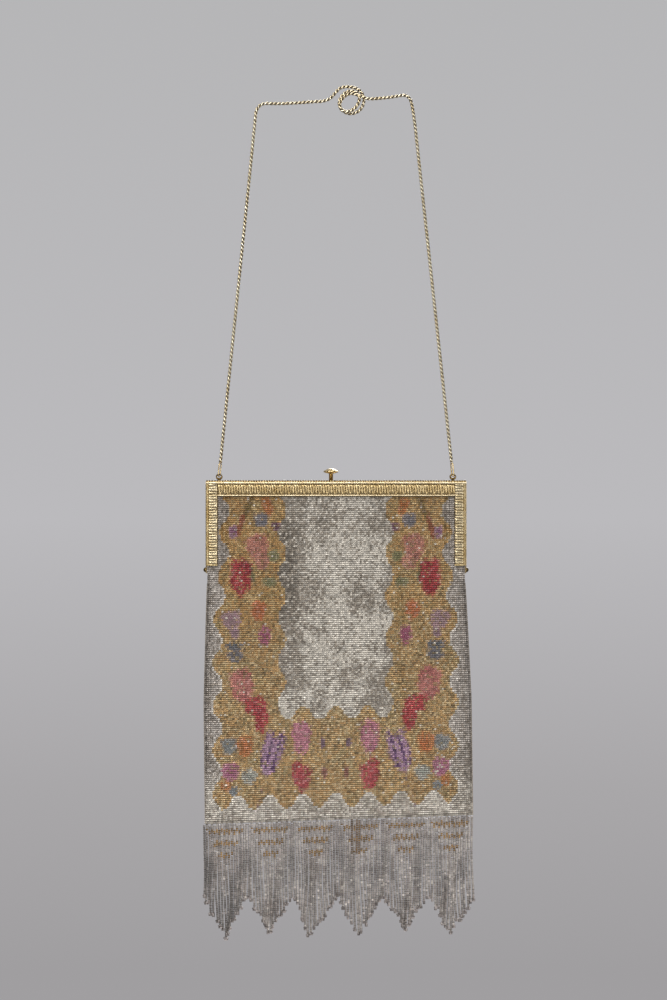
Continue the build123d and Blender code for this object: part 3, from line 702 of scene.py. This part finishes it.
def outward(across, down):
    """Unit normals of the panel from the cross product of its two slopes, worked out by small steps."""
    step = 1e-4
    along_u = stacked(*bag_surface(across + step, down)) - stacked(*bag_surface(across - step, down))
    along_v = stacked(*bag_surface(across, down + step)) - stacked(*bag_surface(across, down - step))
    normal = unit(np.cross(along_u, along_v))
    return normal * np.where(normal[..., 1:2] < 0, -1, 1)


# %% [markdown]
# The design is strung into the cloth, so each bead has one colour. It is made of fields and simple shapes:
# a silver ground, a gold border shaped like a U with scalloped edges, and garden flowers in mirrored pairs.
# Every shape is a formula on the cloth's own coordinates, tested for all the beads at once. Places are
# counted in units of 0.673 mm, outwards from the middle and downwards from above, and the cloth's skew is
# left out.

# %% Design tables
UNIT = 0.673
LEVEL_ZERO = 103
SILVER, SIDE_SILVER, TARNISH, PALE_STEEL = "#C2BAAD", "#A69D94", "#6C5F50", "#DCD6CC"
GOLD, GOLD_DEEP, GOLD_PALE, OLIVE = "#AC8A5A", "#886842", "#C8B894", "#807654"
WORN_DARK, GOLD_DARK, PAINTED_PETAL_HIGHLIGHT, THREAD = "#4E4438", "#5E4628", "#DCC8C0", "#4E463E"
DYE_DEPTH = 0.72
DYE_WARMTH = np.array([1.02, 0.9, 0.93])
COLUMN_DEEP = (0.38, 0.2)
COLUMN_TINT = np.array([0.15, 0.32, 0.65])
PALE_LINE, PALE_LINE_TOP = 1.9, 585
BEAD_LIGHT, BEAD_VARIES = 0.84, 0.84

# Scalloped edges: where a crest lies, its period, the edge's middle and its swing
INNER_SIDE = (617, 42.7, 53.5, 4)
INNER_FLOOR = (16, 32, 712, 6.5)
OUTER_FLOOR = (16.5, 32.5, 799.5, 7)

# Tarnish clouds: size in mm, step of the seed and share
CLOUDS = ((14.0, 1, 0.5), (6.0, 2, 0.3), (2.7, 3, 0.2))

# Each flower: place outwards, level, width, height, light colour and dark colour, then its kind and tilt
# where it isn't an upright bloom
FLOWERS = [
    (73.5, 520, 13, 15, "#8E8E8C", "#66696C"),
    (59.5, 526.5, 8, 8, "#8A6870", "#5E4450"),
    (102, 532, 9, 13, "#B0909C", "#80586E"),
    (67.5, 506, 9, 18, "#BE8148", "#A86E3C", "bloom", 15),
    (88, 510, 5, 30, "#8C7440", "#6F6434", "bloom", -20),
    (95, 526, 5, 26, "#A0623E", "#8A5836", "bloom", -14),
    (78, 547, 20, 26, "#C28C76", "#AA6A5C", "rose", 6),
    (73, 562, 14, 14, "#C09078", "#AC7460", "rose", 0),
    (84, 575, 6, 18, "#8E8A5C", "#727248", "bloom", 10),
    (94.5, 577, 20, 36, "#B24242", "#8E2430", "rose", 0),
    (62, 556, 10, 12, "#98986A", "#787C52"),
    (66, 582, 13, 10, "#9C9A6C", "#767A54"),
    (76.5, 610, 14, 19, "#C4814E", "#B46C40"),
    (104, 619, 18, 18, "#B29A98", "#90767C"),
    (101, 632, 9, 12, "#AE9896", "#8C747C"),
    (70.5, 635, 11, 19, "#B67484", "#924E66"),
    (100, 645, 17, 8, "#7A8080", "#585F62"),
    (100, 655, 15, 12, "#7E8080", "#5E6266"),
    (93.5, 684, 21, 33, "#C68A7C", "#B0625C", "rose", 8),
    (80, 704, 20, 18, "#BE5250", "#9A2C36", "rose", 0),
    (74, 718, 13, 26, "#BC4E4C", "#982A34", "rose", 0),
    (106, 744, 15, 17, "#9AA098", "#7C8682"),
    (90, 744, 15, 21, "#C48A50", "#B4703E"),
    (64, 752, 21, 46, "#B496B0", "#5E4068", "tulip", -15),
    (34.5, 737, 17, 33, "#C88E98", "#B07084", "rose", 0),
    (38, 772, 10, 26, "#B44848", "#902C34", "rose", 0),
    (33, 777, 15, 26, "#C05E5E", "#A4343E", "rose", 0),
    (105, 769, 16, 19, "#C08898", "#A0627E"),
    (86.5, 774, 14, 15, "#B4BBAA", "#9CA698"),
    (102, 788, 9, 9, "#909C9A", "#788482"),
    (110, 783, 9, 11, "#C08A4C", "#AE7440"),
    (11, 772, 5, 12, "#A07C64", "#86584C"),
    (13, 742, 5, 10, "#8C7680", "#6E5C66"),
]
print(len(FLOWERS), "flowers a side")


# %% Noise, layers and scallops
def noise(x, z, size, seed):
    """Smooth random field between 0 and 1: random values on a square lattice, eased between its corners."""
    lattice = np.random.default_rng(seed).random((64, 64))
    u, v = x / size + 32, z / size + 900
    i, j = np.floor(u).astype(int), np.floor(v).astype(int)
    a, b = smooth_step(u - i, 0, 1), smooth_step(v - j, 0, 1)
    near = lattice[i % 64, j % 64] * (1 - a) + lattice[(i + 1) % 64, j % 64] * a
    far = lattice[i % 64, (j + 1) % 64] * (1 - a) + lattice[(i + 1) % 64, (j + 1) % 64] * a
    return near * (1 - b) + far * b


def lay(colours, *layers):
    """Lay masks of colour over one another: where a mask is 1 a bead takes its colour, and a mask between 0
    and 1 mixes it in."""
    for mask, hex_colour in layers:
        amount = np.asarray(mask, float)[..., None]
        colours = colours * (1 - amount) + linear(hex_colour) * amount
    return colours


def scallop(value, first, period, middle, swing):
    """A wavy edge about a middle: swing c^0.75 with c = cos(2 pi (value - first) / period), so crests and
    dips are rounder than a cosine's."""
    crest = np.cos(2 * math.pi * (value - first) / period)
    return middle + swing * np.sign(crest) * np.abs(crest) ** 0.75


# %% Shape of a flower
def flower(out, level, kind, place, row, width, tall, tilt, ragged, grain):
    """How fully a flower covers each bead, and its shade from 0 to 1, from its own tilted coordinates u and
    v, which run from -1 to 1 over its width and height. The cover fades over the flower's ragged edge."""
    swing = math.radians(tilt)
    u = ((out - place) * math.cos(swing) + (level - row) * math.sin(swing)) / (width * 0.58)
    v = ((level - row) * math.cos(swing) - (out - place) * math.sin(swing)) / (tall * 0.55)
    angle = np.arctan2(v, u)
    reach = (np.abs(u / (1 - 0.2 * np.clip(v, -1, 1))) ** 2.5 + np.abs(v) ** 2.5) ** 0.4
    if kind == "rose":
        edge = 1 + 0.04 * np.sin(5 * angle + place) - reach
        whorl = smooth_step(np.sin(8 * reach + 2 * angle), -0.3, 0.9)
        shade = 0.2 + 0.6 * whorl * smooth_step(reach, 0.2, 0.9)
    elif kind == "tulip":
        cup = 0.95 * np.sqrt(np.clip(1 - np.clip(v + 0.1, 0, 1) ** 2, 0, 1)) * (1 - 0.12 * np.clip(-v, 0, 1))
        tips = -1 + 0.35 * np.abs(np.abs(2 * u) - 1)
        edge = np.minimum(cup - np.abs(u), v - tips)
        vein = ((np.abs(u + 0.4) < 0.1) | (np.abs(u - 0.22) < 0.1)) & (v < 0.6)
        shade = np.where(vein, 1.0, np.where((edge < 0.2) & (v > -0.8), 0.8, 0.0))
    else:
        edge = 1 + 0.04 * np.sin(4 * angle + row) - reach
        shade = smooth_step(0.55 * grain + 0.45 * (1 - reach), 0.3, 0.75)
    return smooth_step(edge + ragged, -0.1, 0.22), shade


# %% Colour of every bead
def strung_design(x, z, across, down, seed):
    """Colours of the beads at x, z in mm, as linear red, green and blue. Later layers lie over earlier
    ones, and the seams at the sides and the bottom are dark with thread."""
    chance = np.random.default_rng(seed)
    grain, speck, odd = chance.random((3,) + x.shape)
    out, level = np.abs(x) / UNIT, LEVEL_ZERO - z / UNIT
    soft = sum(noise(x, z, size, seed + step) * part for size, step, part in CLOUDS)

    inner_edge, inner_floor = scallop(level, *INNER_SIDE), scallop(out, *INNER_FLOOR)
    outer_edge = scallop(level, 661, 43, 111 + 7 * smooth_step(level, 540, 640), 4.8)
    outer_floor = scallop(out, *OUTER_FLOOR)
    centre = (out <= inner_edge) & (level <= inner_floor)
    border = (out < outer_edge) & (level < outer_floor) & ~centre
    margin = ~border & ~centre

    lopsided = 1 + 0.55 * np.sign(-x)
    dark_side = smooth_step(out, 26, 48) * (1 - smooth_step(level, 620, 720)) * 0.36 * lopsided
    high_band = 0.2 * np.exp(-((level - 592) / 12) ** 2) * smooth_step(out, 8, 40)
    low_band = 0.26 * np.exp(-((level - 685) / 26) ** 2) * smooth_step(x, -8, 12)
    stained = smooth_step(soft + dark_side + (high_band + low_band), 0.42, 0.85)
    worn_side = smooth_step(-x / UNIT, 30, 48) * smooth_step(level, 505, 540)
    worn_side = worn_side * (1 - smooth_step(level, 600, 650))
    deep = smooth_step(noise(x, z, 7.0, seed + 4) + 0.9 * (grain - 0.5), 0.45, 0.85)
    green = smooth_step(noise(x, z, 9.0, seed + 5) + 0.8 * (speck - 0.5), 0.6, 0.85)
    colours = lay(
        np.broadcast_to(linear(SIDE_SILVER), x.shape + (3,)),
        (smooth_step(level, 760, 800) * 0.9, SILVER),
        (margin * (speck < 0.2 + 0.5 * smooth_step(soft, 0.4, 0.7)) * 0.55, TARNISH),
        (centre, SILVER),
        (centre * np.where(speck < 0.1 + 0.75 * stained, 0.7, 0.25 * stained), TARNISH),
        (centre * (odd > 0.8) * 0.25, PALE_STEEL),
        (centre * worn_side * (grain < 0.65) * 0.6, WORN_DARK),
        (border, GOLD),
        (border * deep * 0.55, GOLD_DEEP),
        (border * green * 0.45, OLIVE),
        (border * (odd > 0.72) * 0.4, GOLD_PALE),
        (border * (odd < 0.18) * 0.5, OLIVE),
        (border * (speck > 0.88) * 0.6, GOLD_DARK),
    )
    column = border * (1 - smooth_step(level, 590, 680)) * np.where(x < 0, *COLUMN_DEEP)
    colours = colours * (1 - column[..., None] * COLUMN_TINT)
    near_edge = (out < outer_edge + PALE_LINE) & (level < outer_floor + PALE_LINE)
    colours = lay(colours, (margin * near_edge * (level > PALE_LINE_TOP) * 0.45, PALE_STEEL))

    ragged = 0.26 * (speck - 0.5)
    for place, row, width, tall, light, dark, *special in FLOWERS:
        kind, tilt = special or ("bloom", 0)
        inside, shade = flower(out, level, kind, place, row, width, tall, tilt, ragged, grain)
        dyed = lay(colours, (inside * 0.95, light), (inside * shade * 0.95, dark)) * DYE_WARMTH
        strung = np.where(odd < 0.14, 0.35, 1.0) * inside
        colours = colours + (dyed * (1 - (1 - DYE_DEPTH) * inside)[..., None] - colours) * strung[..., None]
        # Painted highlight: a few random beads of each flower are lightened.
        colours = lay(colours, (inside * (odd > 0.86) * 0.14, PAINTED_PETAL_HIGHLIGHT))
    seam = np.maximum(smooth_step(np.abs(across), 0.985, 0.997) * 0.7, smooth_step(down, 0.992, 0.994))
    colours = lay(colours, ((odd < 0.015) * 0.5, PALE_STEEL), (seam * 0.5, THREAD))
    return np.clip(colours * (BEAD_LIGHT + BEAD_VARIES * grain)[..., None], 0, 1)


# %% [markdown]
# Now the cloth itself. The outer grid has a point at each bead's middle, at its sides and at its corners;
# only the middles stand at full height. A little seeded jitter tips every bead its own way, which is what
# makes cut steel glitter. Two grids of different fineness are closed with fans of triangles along the rim.
# The beads are unevenly polished steel, and the inner side is knitted silk.

# %% Bead and silk finishes
DULL_SPOT, ROW_PITCH, KNIT_DEPTH = 5 * MM, 1.37 * MM, 0.3 * MM
steel_beads, tree, shader = material("cut_steel_beads")
stored = add(tree, "VertexColor", {"layer_name": "tone"})
place = add(tree, "TexCoord").outputs["Object"]
dull = add(tree, "TexNoise", Vector=place, Scale=1 / DULL_SPOT, Detail=3.0)
rough = add(tree, "MapRange", Value=dull.outputs["Fac"], To_Min=0.3, To_Max=0.6)
feed(tree, shader, Base_Color=stored.outputs["Color"], Roughness=rough.outputs["Result"], Metallic=0.4)

silk_back, tree, shader = material("knitted_silk_back")
place = add(tree, "TexCoord").outputs["Object"]
knit = add(tree, "TexWave", {"bands_direction": "Z"}, Vector=place, Scale=math.pi / 10 / ROW_PITCH,
           Distortion=1.5, Detail=2.0).outputs["Fac"]
bump = add(tree, "Bump", Strength=0.5, Distance=KNIT_DEPTH, Height=knit)
feed(tree, shader, Base_Color=mix(tree, knit, rgba("#6F655A"), rgba("#9A8F80")), Roughness=0.85,
     Normal=bump.outputs["Normal"], Sheen_Weight=0.3)
print("cloth finishes:", steel_beads.name, silk_back.name)

# %% Bead cloth panels
# Tones of a bead's side points and of the groove points between rows, as shares of the bead's colour:
# painted shade, and in the grooves the dark thread as well.
BEAD_SIDE_HEIGHT, GROOVE_HEIGHT = 0.5, 0.1
BEAD_SIDE_SHADE, GROOVE_SHADE_AND_THREAD = 0.64, 0.22
UNEVEN, TIPPED = 0.3, 0.5
BETWEEN_PANELS = 0.06
BACK_TONE = "#8E8478"


def rim_fan(outer, inner):
    """Triangles between an outer rim line and an inner one with a quarter of its points."""
    a, b = inner[:-1], inner[1:]
    p = [outer[k::4][:len(a)] for k in range(4)] + [outer[4::4]]
    corners = ((a, p[0], p[1]), (a, p[1], p[2]), (b, p[2], p[3]), (b, p[3], p[4]), (a, p[2], b))
    return np.concatenate([np.stack(triangle, -1) for triangle in corners])


def bead_cloth(name, facing, seed):
    """One closed panel: an outer grid of two quads by two per bead, an inner grid of one quad per two beads
    by two, and fans along the rim. facing is -1 for the front and 1 for the back."""
    chance = np.random.default_rng(seed)
    columns, rows = 2 * BEAD_COLUMNS + 1, 2 * BEAD_ROWS + 1
    across, down = np.meshgrid(np.linspace(-1, 1, columns), np.linspace(0, 1, rows))
    i, j = np.meshgrid(np.arange(rows), np.arange(columns), indexing="ij")
    mid_row, mid_column = i % 2 == 1, j % 2 == 1
    middle = mid_row & mid_column
    height = np.where(middle, 1.0, np.where(mid_row, BEAD_SIDE_HEIGHT, GROOVE_HEIGHT * mid_column))
    height = height * (1 + UNEVEN * (chance.random(height.shape) - 0.5)) * BEAD_HEIGHT
    tip = TIPPED * (chance.random((2,) + height.shape) - 0.5) * middle
    outer = stacked(*bag_surface(across + tip[0] * 2 / columns, down + tip[1] / rows))
    outer = outer + outward(across, down) * (height - BEAD_HEIGHT)[..., None]

    across_in, down_in = np.meshgrid(np.linspace(-1, 1, BEAD_COLUMNS // 2 + 1),
                                     np.linspace(0, 1, BEAD_ROWS // 2 + 1))
    inner = stacked(*bag_surface(across_in, down_in))
    inner = inner - outward(across_in, down_in) * np.minimum(CLOTH, inner[..., 1] - 0.1)[..., None]
    outer[..., 1] = np.maximum(outer[..., 1], BETWEEN_PANELS)
    inner[..., 1] = np.maximum(inner[..., 1], BETWEEN_PANELS)

    outer_index = np.arange(rows * columns).reshape(rows, columns)
    inner_index = rows * columns + np.arange(inner[..., 0].size).reshape(inner.shape[:2])
    fans = [rim_fan(outer_index[0], inner_index[0])[:, ::-1],
            rim_fan(outer_index[-1], inner_index[-1]),
            rim_fan(outer_index[:, 0], inner_index[:, 0]),
            rim_fan(outer_index[:, -1], inner_index[:, -1])[:, ::-1]]
    faces = [grid_faces(rows, columns)[:, ::-1], grid_faces(*inner.shape[:2], rows * columns),
             np.concatenate(fans)]
    points = np.concatenate([outer.reshape(-1, 3), inner.reshape(-1, 3)]) * MM * np.array([1, facing, 1])
    made = mesh_object(name, points, [f[:, ::-facing] for f in faces], steel_beads)

    bead_x = bag_surface(across, down)[0][1::2, 1::2]
    bead_z = (CLOTH_TOP - down * CLOTH_LENGTH)[1::2, 1::2]
    beads = strung_design(bead_x, bead_z, across[1::2, 1::2], down[1::2, 1::2], seed)
    owner = beads[np.minimum(i // 2, BEAD_ROWS - 1), np.minimum(j // 2, BEAD_COLUMNS - 1)]
    rim = (i == 0) | (i == rows - 1) | (j == 0) | (j == columns - 1)
    # Painted shade: only bead middles and the rim keep the full colour, and bead sides and grooves between
    # rows are darkened.
    light = np.where(middle | rim, 1.0, np.where(mid_row, BEAD_SIDE_SHADE, GROOVE_SHADE_AND_THREAD))
    outer_tone = owner * light[..., None]
    inner_tone = np.broadcast_to(linear(BACK_TONE), inner.shape)
    paint(made, np.concatenate([outer_tone.reshape(-1, 3), inner_tone.reshape(-1, 3)]))
    made.data.materials.append(silk_back)
    inside = np.concatenate([np.zeros(len(faces[0])), np.ones(len(faces[1])), np.zeros(len(faces[2]))])
    made.data.polygons.foreach_set("material_index", inside.astype(np.int32))
    return made

# %% Front and back cloth
front_cloth = bead_cloth("front_bead_cloth", -1, 21)
back_cloth = bead_cloth("back_bead_cloth", 1, 22)
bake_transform(front_cloth)
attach(back_cloth, "purse")
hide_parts("front_panel", "front_flap")
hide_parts("back_panel")

# %% [markdown]
# The fringe is a row of strung strands, each ending in a little loop of beads, cut in six points. Near the
# seam the strands of every point are caught together in a net that narrows downwards, with three bands of
# gold.

# %% Fringe strands
STRANDS = 108
FRINGE_WIDTH, FRINGE_SHIFT = 181.6, 1.4
POINTS = 6
TIP_PLACE = np.array([0.48, 0.5, 0.36, 0.43, 0.5, 0.52])
TIP_MORE = np.array([2.0, 0.0, 0.7, 1.0, -1.3, 0.0])
FRINGE_LONG, FRINGE_SHORT, END_VARIES = 76.0, 50.0, 1.1
BEAD_SIDES = 5
STRUNG_PITCH, STRUNG_RADIUS, STRUNG_WALL = 1.22, 0.82, 0.72
LAYER, STRAND_WAVE = 0.25, 0.3
LOOP_BEADS, LOOP_RADIUS, LOOP_START = 5, 0.95, 0.3
EDGE_TO_FRONT = -math.pi / 2
NET_WAVE, NET_DEPTH = 0.9, 28.0
BANDS = (5.4, 13.5, 21.5)
BAND_HALF, BAND_WAVE = 1.45, 0.5
BROWN_X, BROWN_APART, BROWN_HALF = 12.8, 4.0, 0.9
HEM_Z = HINGE_Z - BAG_DROP

chance = np.random.default_rng(77)
strand = np.arange(STRANDS)[:, None]
other = strand % 2
strand_x = ((strand + 0.5) / STRANDS - 0.5) * FRINGE_WIDTH + FRINGE_SHIFT
point, place = np.divmod((strand + 0.5) / STRANDS * POINTS, 1)
from_tip = np.abs(place - 0.5) * 2
tip_place, tip_more = TIP_PLACE[point.astype(int)], TIP_MORE[point.astype(int)]
from_end = np.where(place < tip_place, 1 - place / tip_place, (place - tip_place) / (1 - tip_place))
hem_here = HEM_Z + HEM_RISE * (strand_x - HEM_SHIFT) / BOTTOM_WIDTH
end_z = HEM_Z - FRINGE_LONG + (FRINGE_LONG - FRINGE_SHORT) * from_end
end_z = end_z + chance.normal(0, END_VARIES, strand.shape) - tip_more * (1 - from_end)
most = int((FRINGE_LONG + HEM_RISE + TIP_MORE.max()) / STRUNG_PITCH) + 1
stagger = chance.uniform(0.5, 1.1, strand.shape)
strung_z = hem_here - (np.arange(most) + stagger) * STRUNG_PITCH
held = strung_z > end_z
depth = hem_here - strung_z
netted = (from_tip < 0.98 - 0.032 * depth) & (depth < NET_DEPTH)
sway = 0.7 * np.sin(depth / 15 + strand * 0.45)
sway = sway + 0.2 * np.sin(depth / 9 + chance.uniform(0, 6.3, strand.shape))
strung_x = strand_x + sway * depth / 50 + np.where(netted, 0, chance.normal(0, 0.1, strand.shape))
strung_z = strung_z + np.where(netted, NET_WAVE * (other - 0.5), 0)
loose = STRAND_WAVE * np.sin(strand * 2.4 + depth / 17) * np.clip(depth / 8, 0, 1)
strung_y = LAYER * (1 - 2 * other) + loose
print(STRANDS, "strands,", int(held.sum()), "beads,", int((netted & held).sum()), "of them in the net")

# %% Fringe colours
STRAND_STEEL, STRAND_DARK, FLANK_DARK, STRAND_TARNISH_AND_SHADE = "#A29A93", "#6E635B", "#504D4A", "#3C3835"
BAND_EDGE, BAND_GOLD, BROWN_BEAD, LOOP_STEEL = "#463A2A", "#7E6236", "#5A4324", "#8A827E"
grey = noise(strung_x, strung_z, 3.5, 5) * 0.5 + noise(strung_x, strung_z, 12, 6) * 0.5
low_down = np.abs(depth - 26 - 22 * (1 - from_tip))
flank = (1 - smooth_step(low_down, 4, 14)) * smooth_step(from_tip + 0.7 * (grey - 0.5), 0.05, 0.5)
tarnish = smooth_step(depth, 38, 58) * (1 - smooth_step(strand, 12, 19))
# Tarnish darkens the lower beads of the first points; the outermost strands on the left take the same dark
# as painted shade.
outer = 1 - smooth_step(strand, 0, 5)
zigzag = BAND_WAVE * (other - 0.5)
from_band = np.abs((depth + zigzag)[..., None] - np.array(BANDS)).min(axis=-1)
in_band = netted & (from_band < BAND_HALF)
browned = (np.abs(np.abs(strand_x - BROWN_X) - BROWN_APART / 2) < BROWN_HALF) & (depth < BANDS[-1] + 2)
strung_tone = lay(
    np.broadcast_to(linear(STRAND_STEEL), strung_x.shape + (3,)),
    (smooth_step(grey, 0.4, 0.75) * 0.6, STRAND_DARK),
    (flank * 0.4, FLANK_DARK),
    (np.maximum(0.6 * tarnish, 0.45 * outer), STRAND_TARNISH_AND_SHADE),
    (netted * (from_band < BAND_HALF + STRUNG_PITCH) * 0.12, BAND_EDGE),
    (in_band * 0.97, BAND_GOLD),
    (browned * 0.8, BROWN_BEAD),
)
bead_light = (0.75 + 0.5 * chance.random(strung_x.shape)) * (0.86 + 0.28 * chance.random(strand.shape))
glint = (chance.random(strung_x.shape) > 0.9) * smooth_step(depth, 18, 40)
bead_light = bead_light * (1 + 0.7 * glint) * (1.08 - 0.22 * smooth_step(depth, 25, 55))
strung_tone = strung_tone * np.where(in_band, bead_light ** 1.6, bead_light)[..., None]

loop_turn = np.arange(LOOP_BEADS) / LOOP_BEADS * 2 * math.pi + LOOP_START
loop_face = chance.uniform(0, math.pi, strand.shape)
end_x = np.take_along_axis(strung_x, held.sum(1, keepdims=True) - 1, axis=1)
loop_x = end_x + LOOP_RADIUS * np.cos(loop_turn) * np.cos(loop_face)
loop_y = LOOP_RADIUS * np.cos(loop_turn) * np.sin(loop_face)
loop_z = end_z - LOOP_RADIUS / 2 + LOOP_RADIUS * np.sin(loop_turn)
loop_tone = linear(LOOP_STEEL) * (0.6 + 0.9 * chance.random((STRANDS, LOOP_BEADS)))[..., None]
centres = np.concatenate([stacked(strung_x, strung_y, strung_z)[held],
                          stacked(loop_x, loop_y, loop_z).reshape(-1, 3)])
tones = np.concatenate([strung_tone[held], loop_tone.reshape(-1, 3)])
strung_turn = EDGE_TO_FRONT + chance.normal(0, 0.2, strand.shape) + chance.normal(0, 0.15, strung_x.shape)
turns = np.concatenate([strung_turn[held], chance.uniform(0, 2 * math.pi, loop_tone.shape[:2]).ravel()])
print(len(centres), "fringe beads,", int((in_band & held).sum()), "of them gold")

# %% Fringe beads
fringe_points, fringe_faces = faceted_beads(centres, STRUNG_RADIUS, STRUNG_PITCH, BEAD_SIDES, turns,
                                            STRUNG_WALL)
fringe = mesh_object("bead_fringe", fringe_points * MM, fringe_faces, steel_beads)
# Painted shade: each fringe bead is lightest at the corner turned to the front and darker towards the sides
# that face its neighbours, with its two poles at a set share.
painted_bead_shade = 0.4 + 0.9 * np.abs(np.sin(bead_corners(turns, BEAD_SIDES))) ** 1.5
pole = np.full((len(turns), 1), 0.75)
painted_bead_shade = np.concatenate([pole, painted_bead_shade, painted_bead_shade, pole], axis=1).reshape(-1, 1)
paint(fringe, np.repeat(tones, 2 * BEAD_SIDES + 2, axis=0) * painted_bead_shade)
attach(fringe, "purse")
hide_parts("fringe")
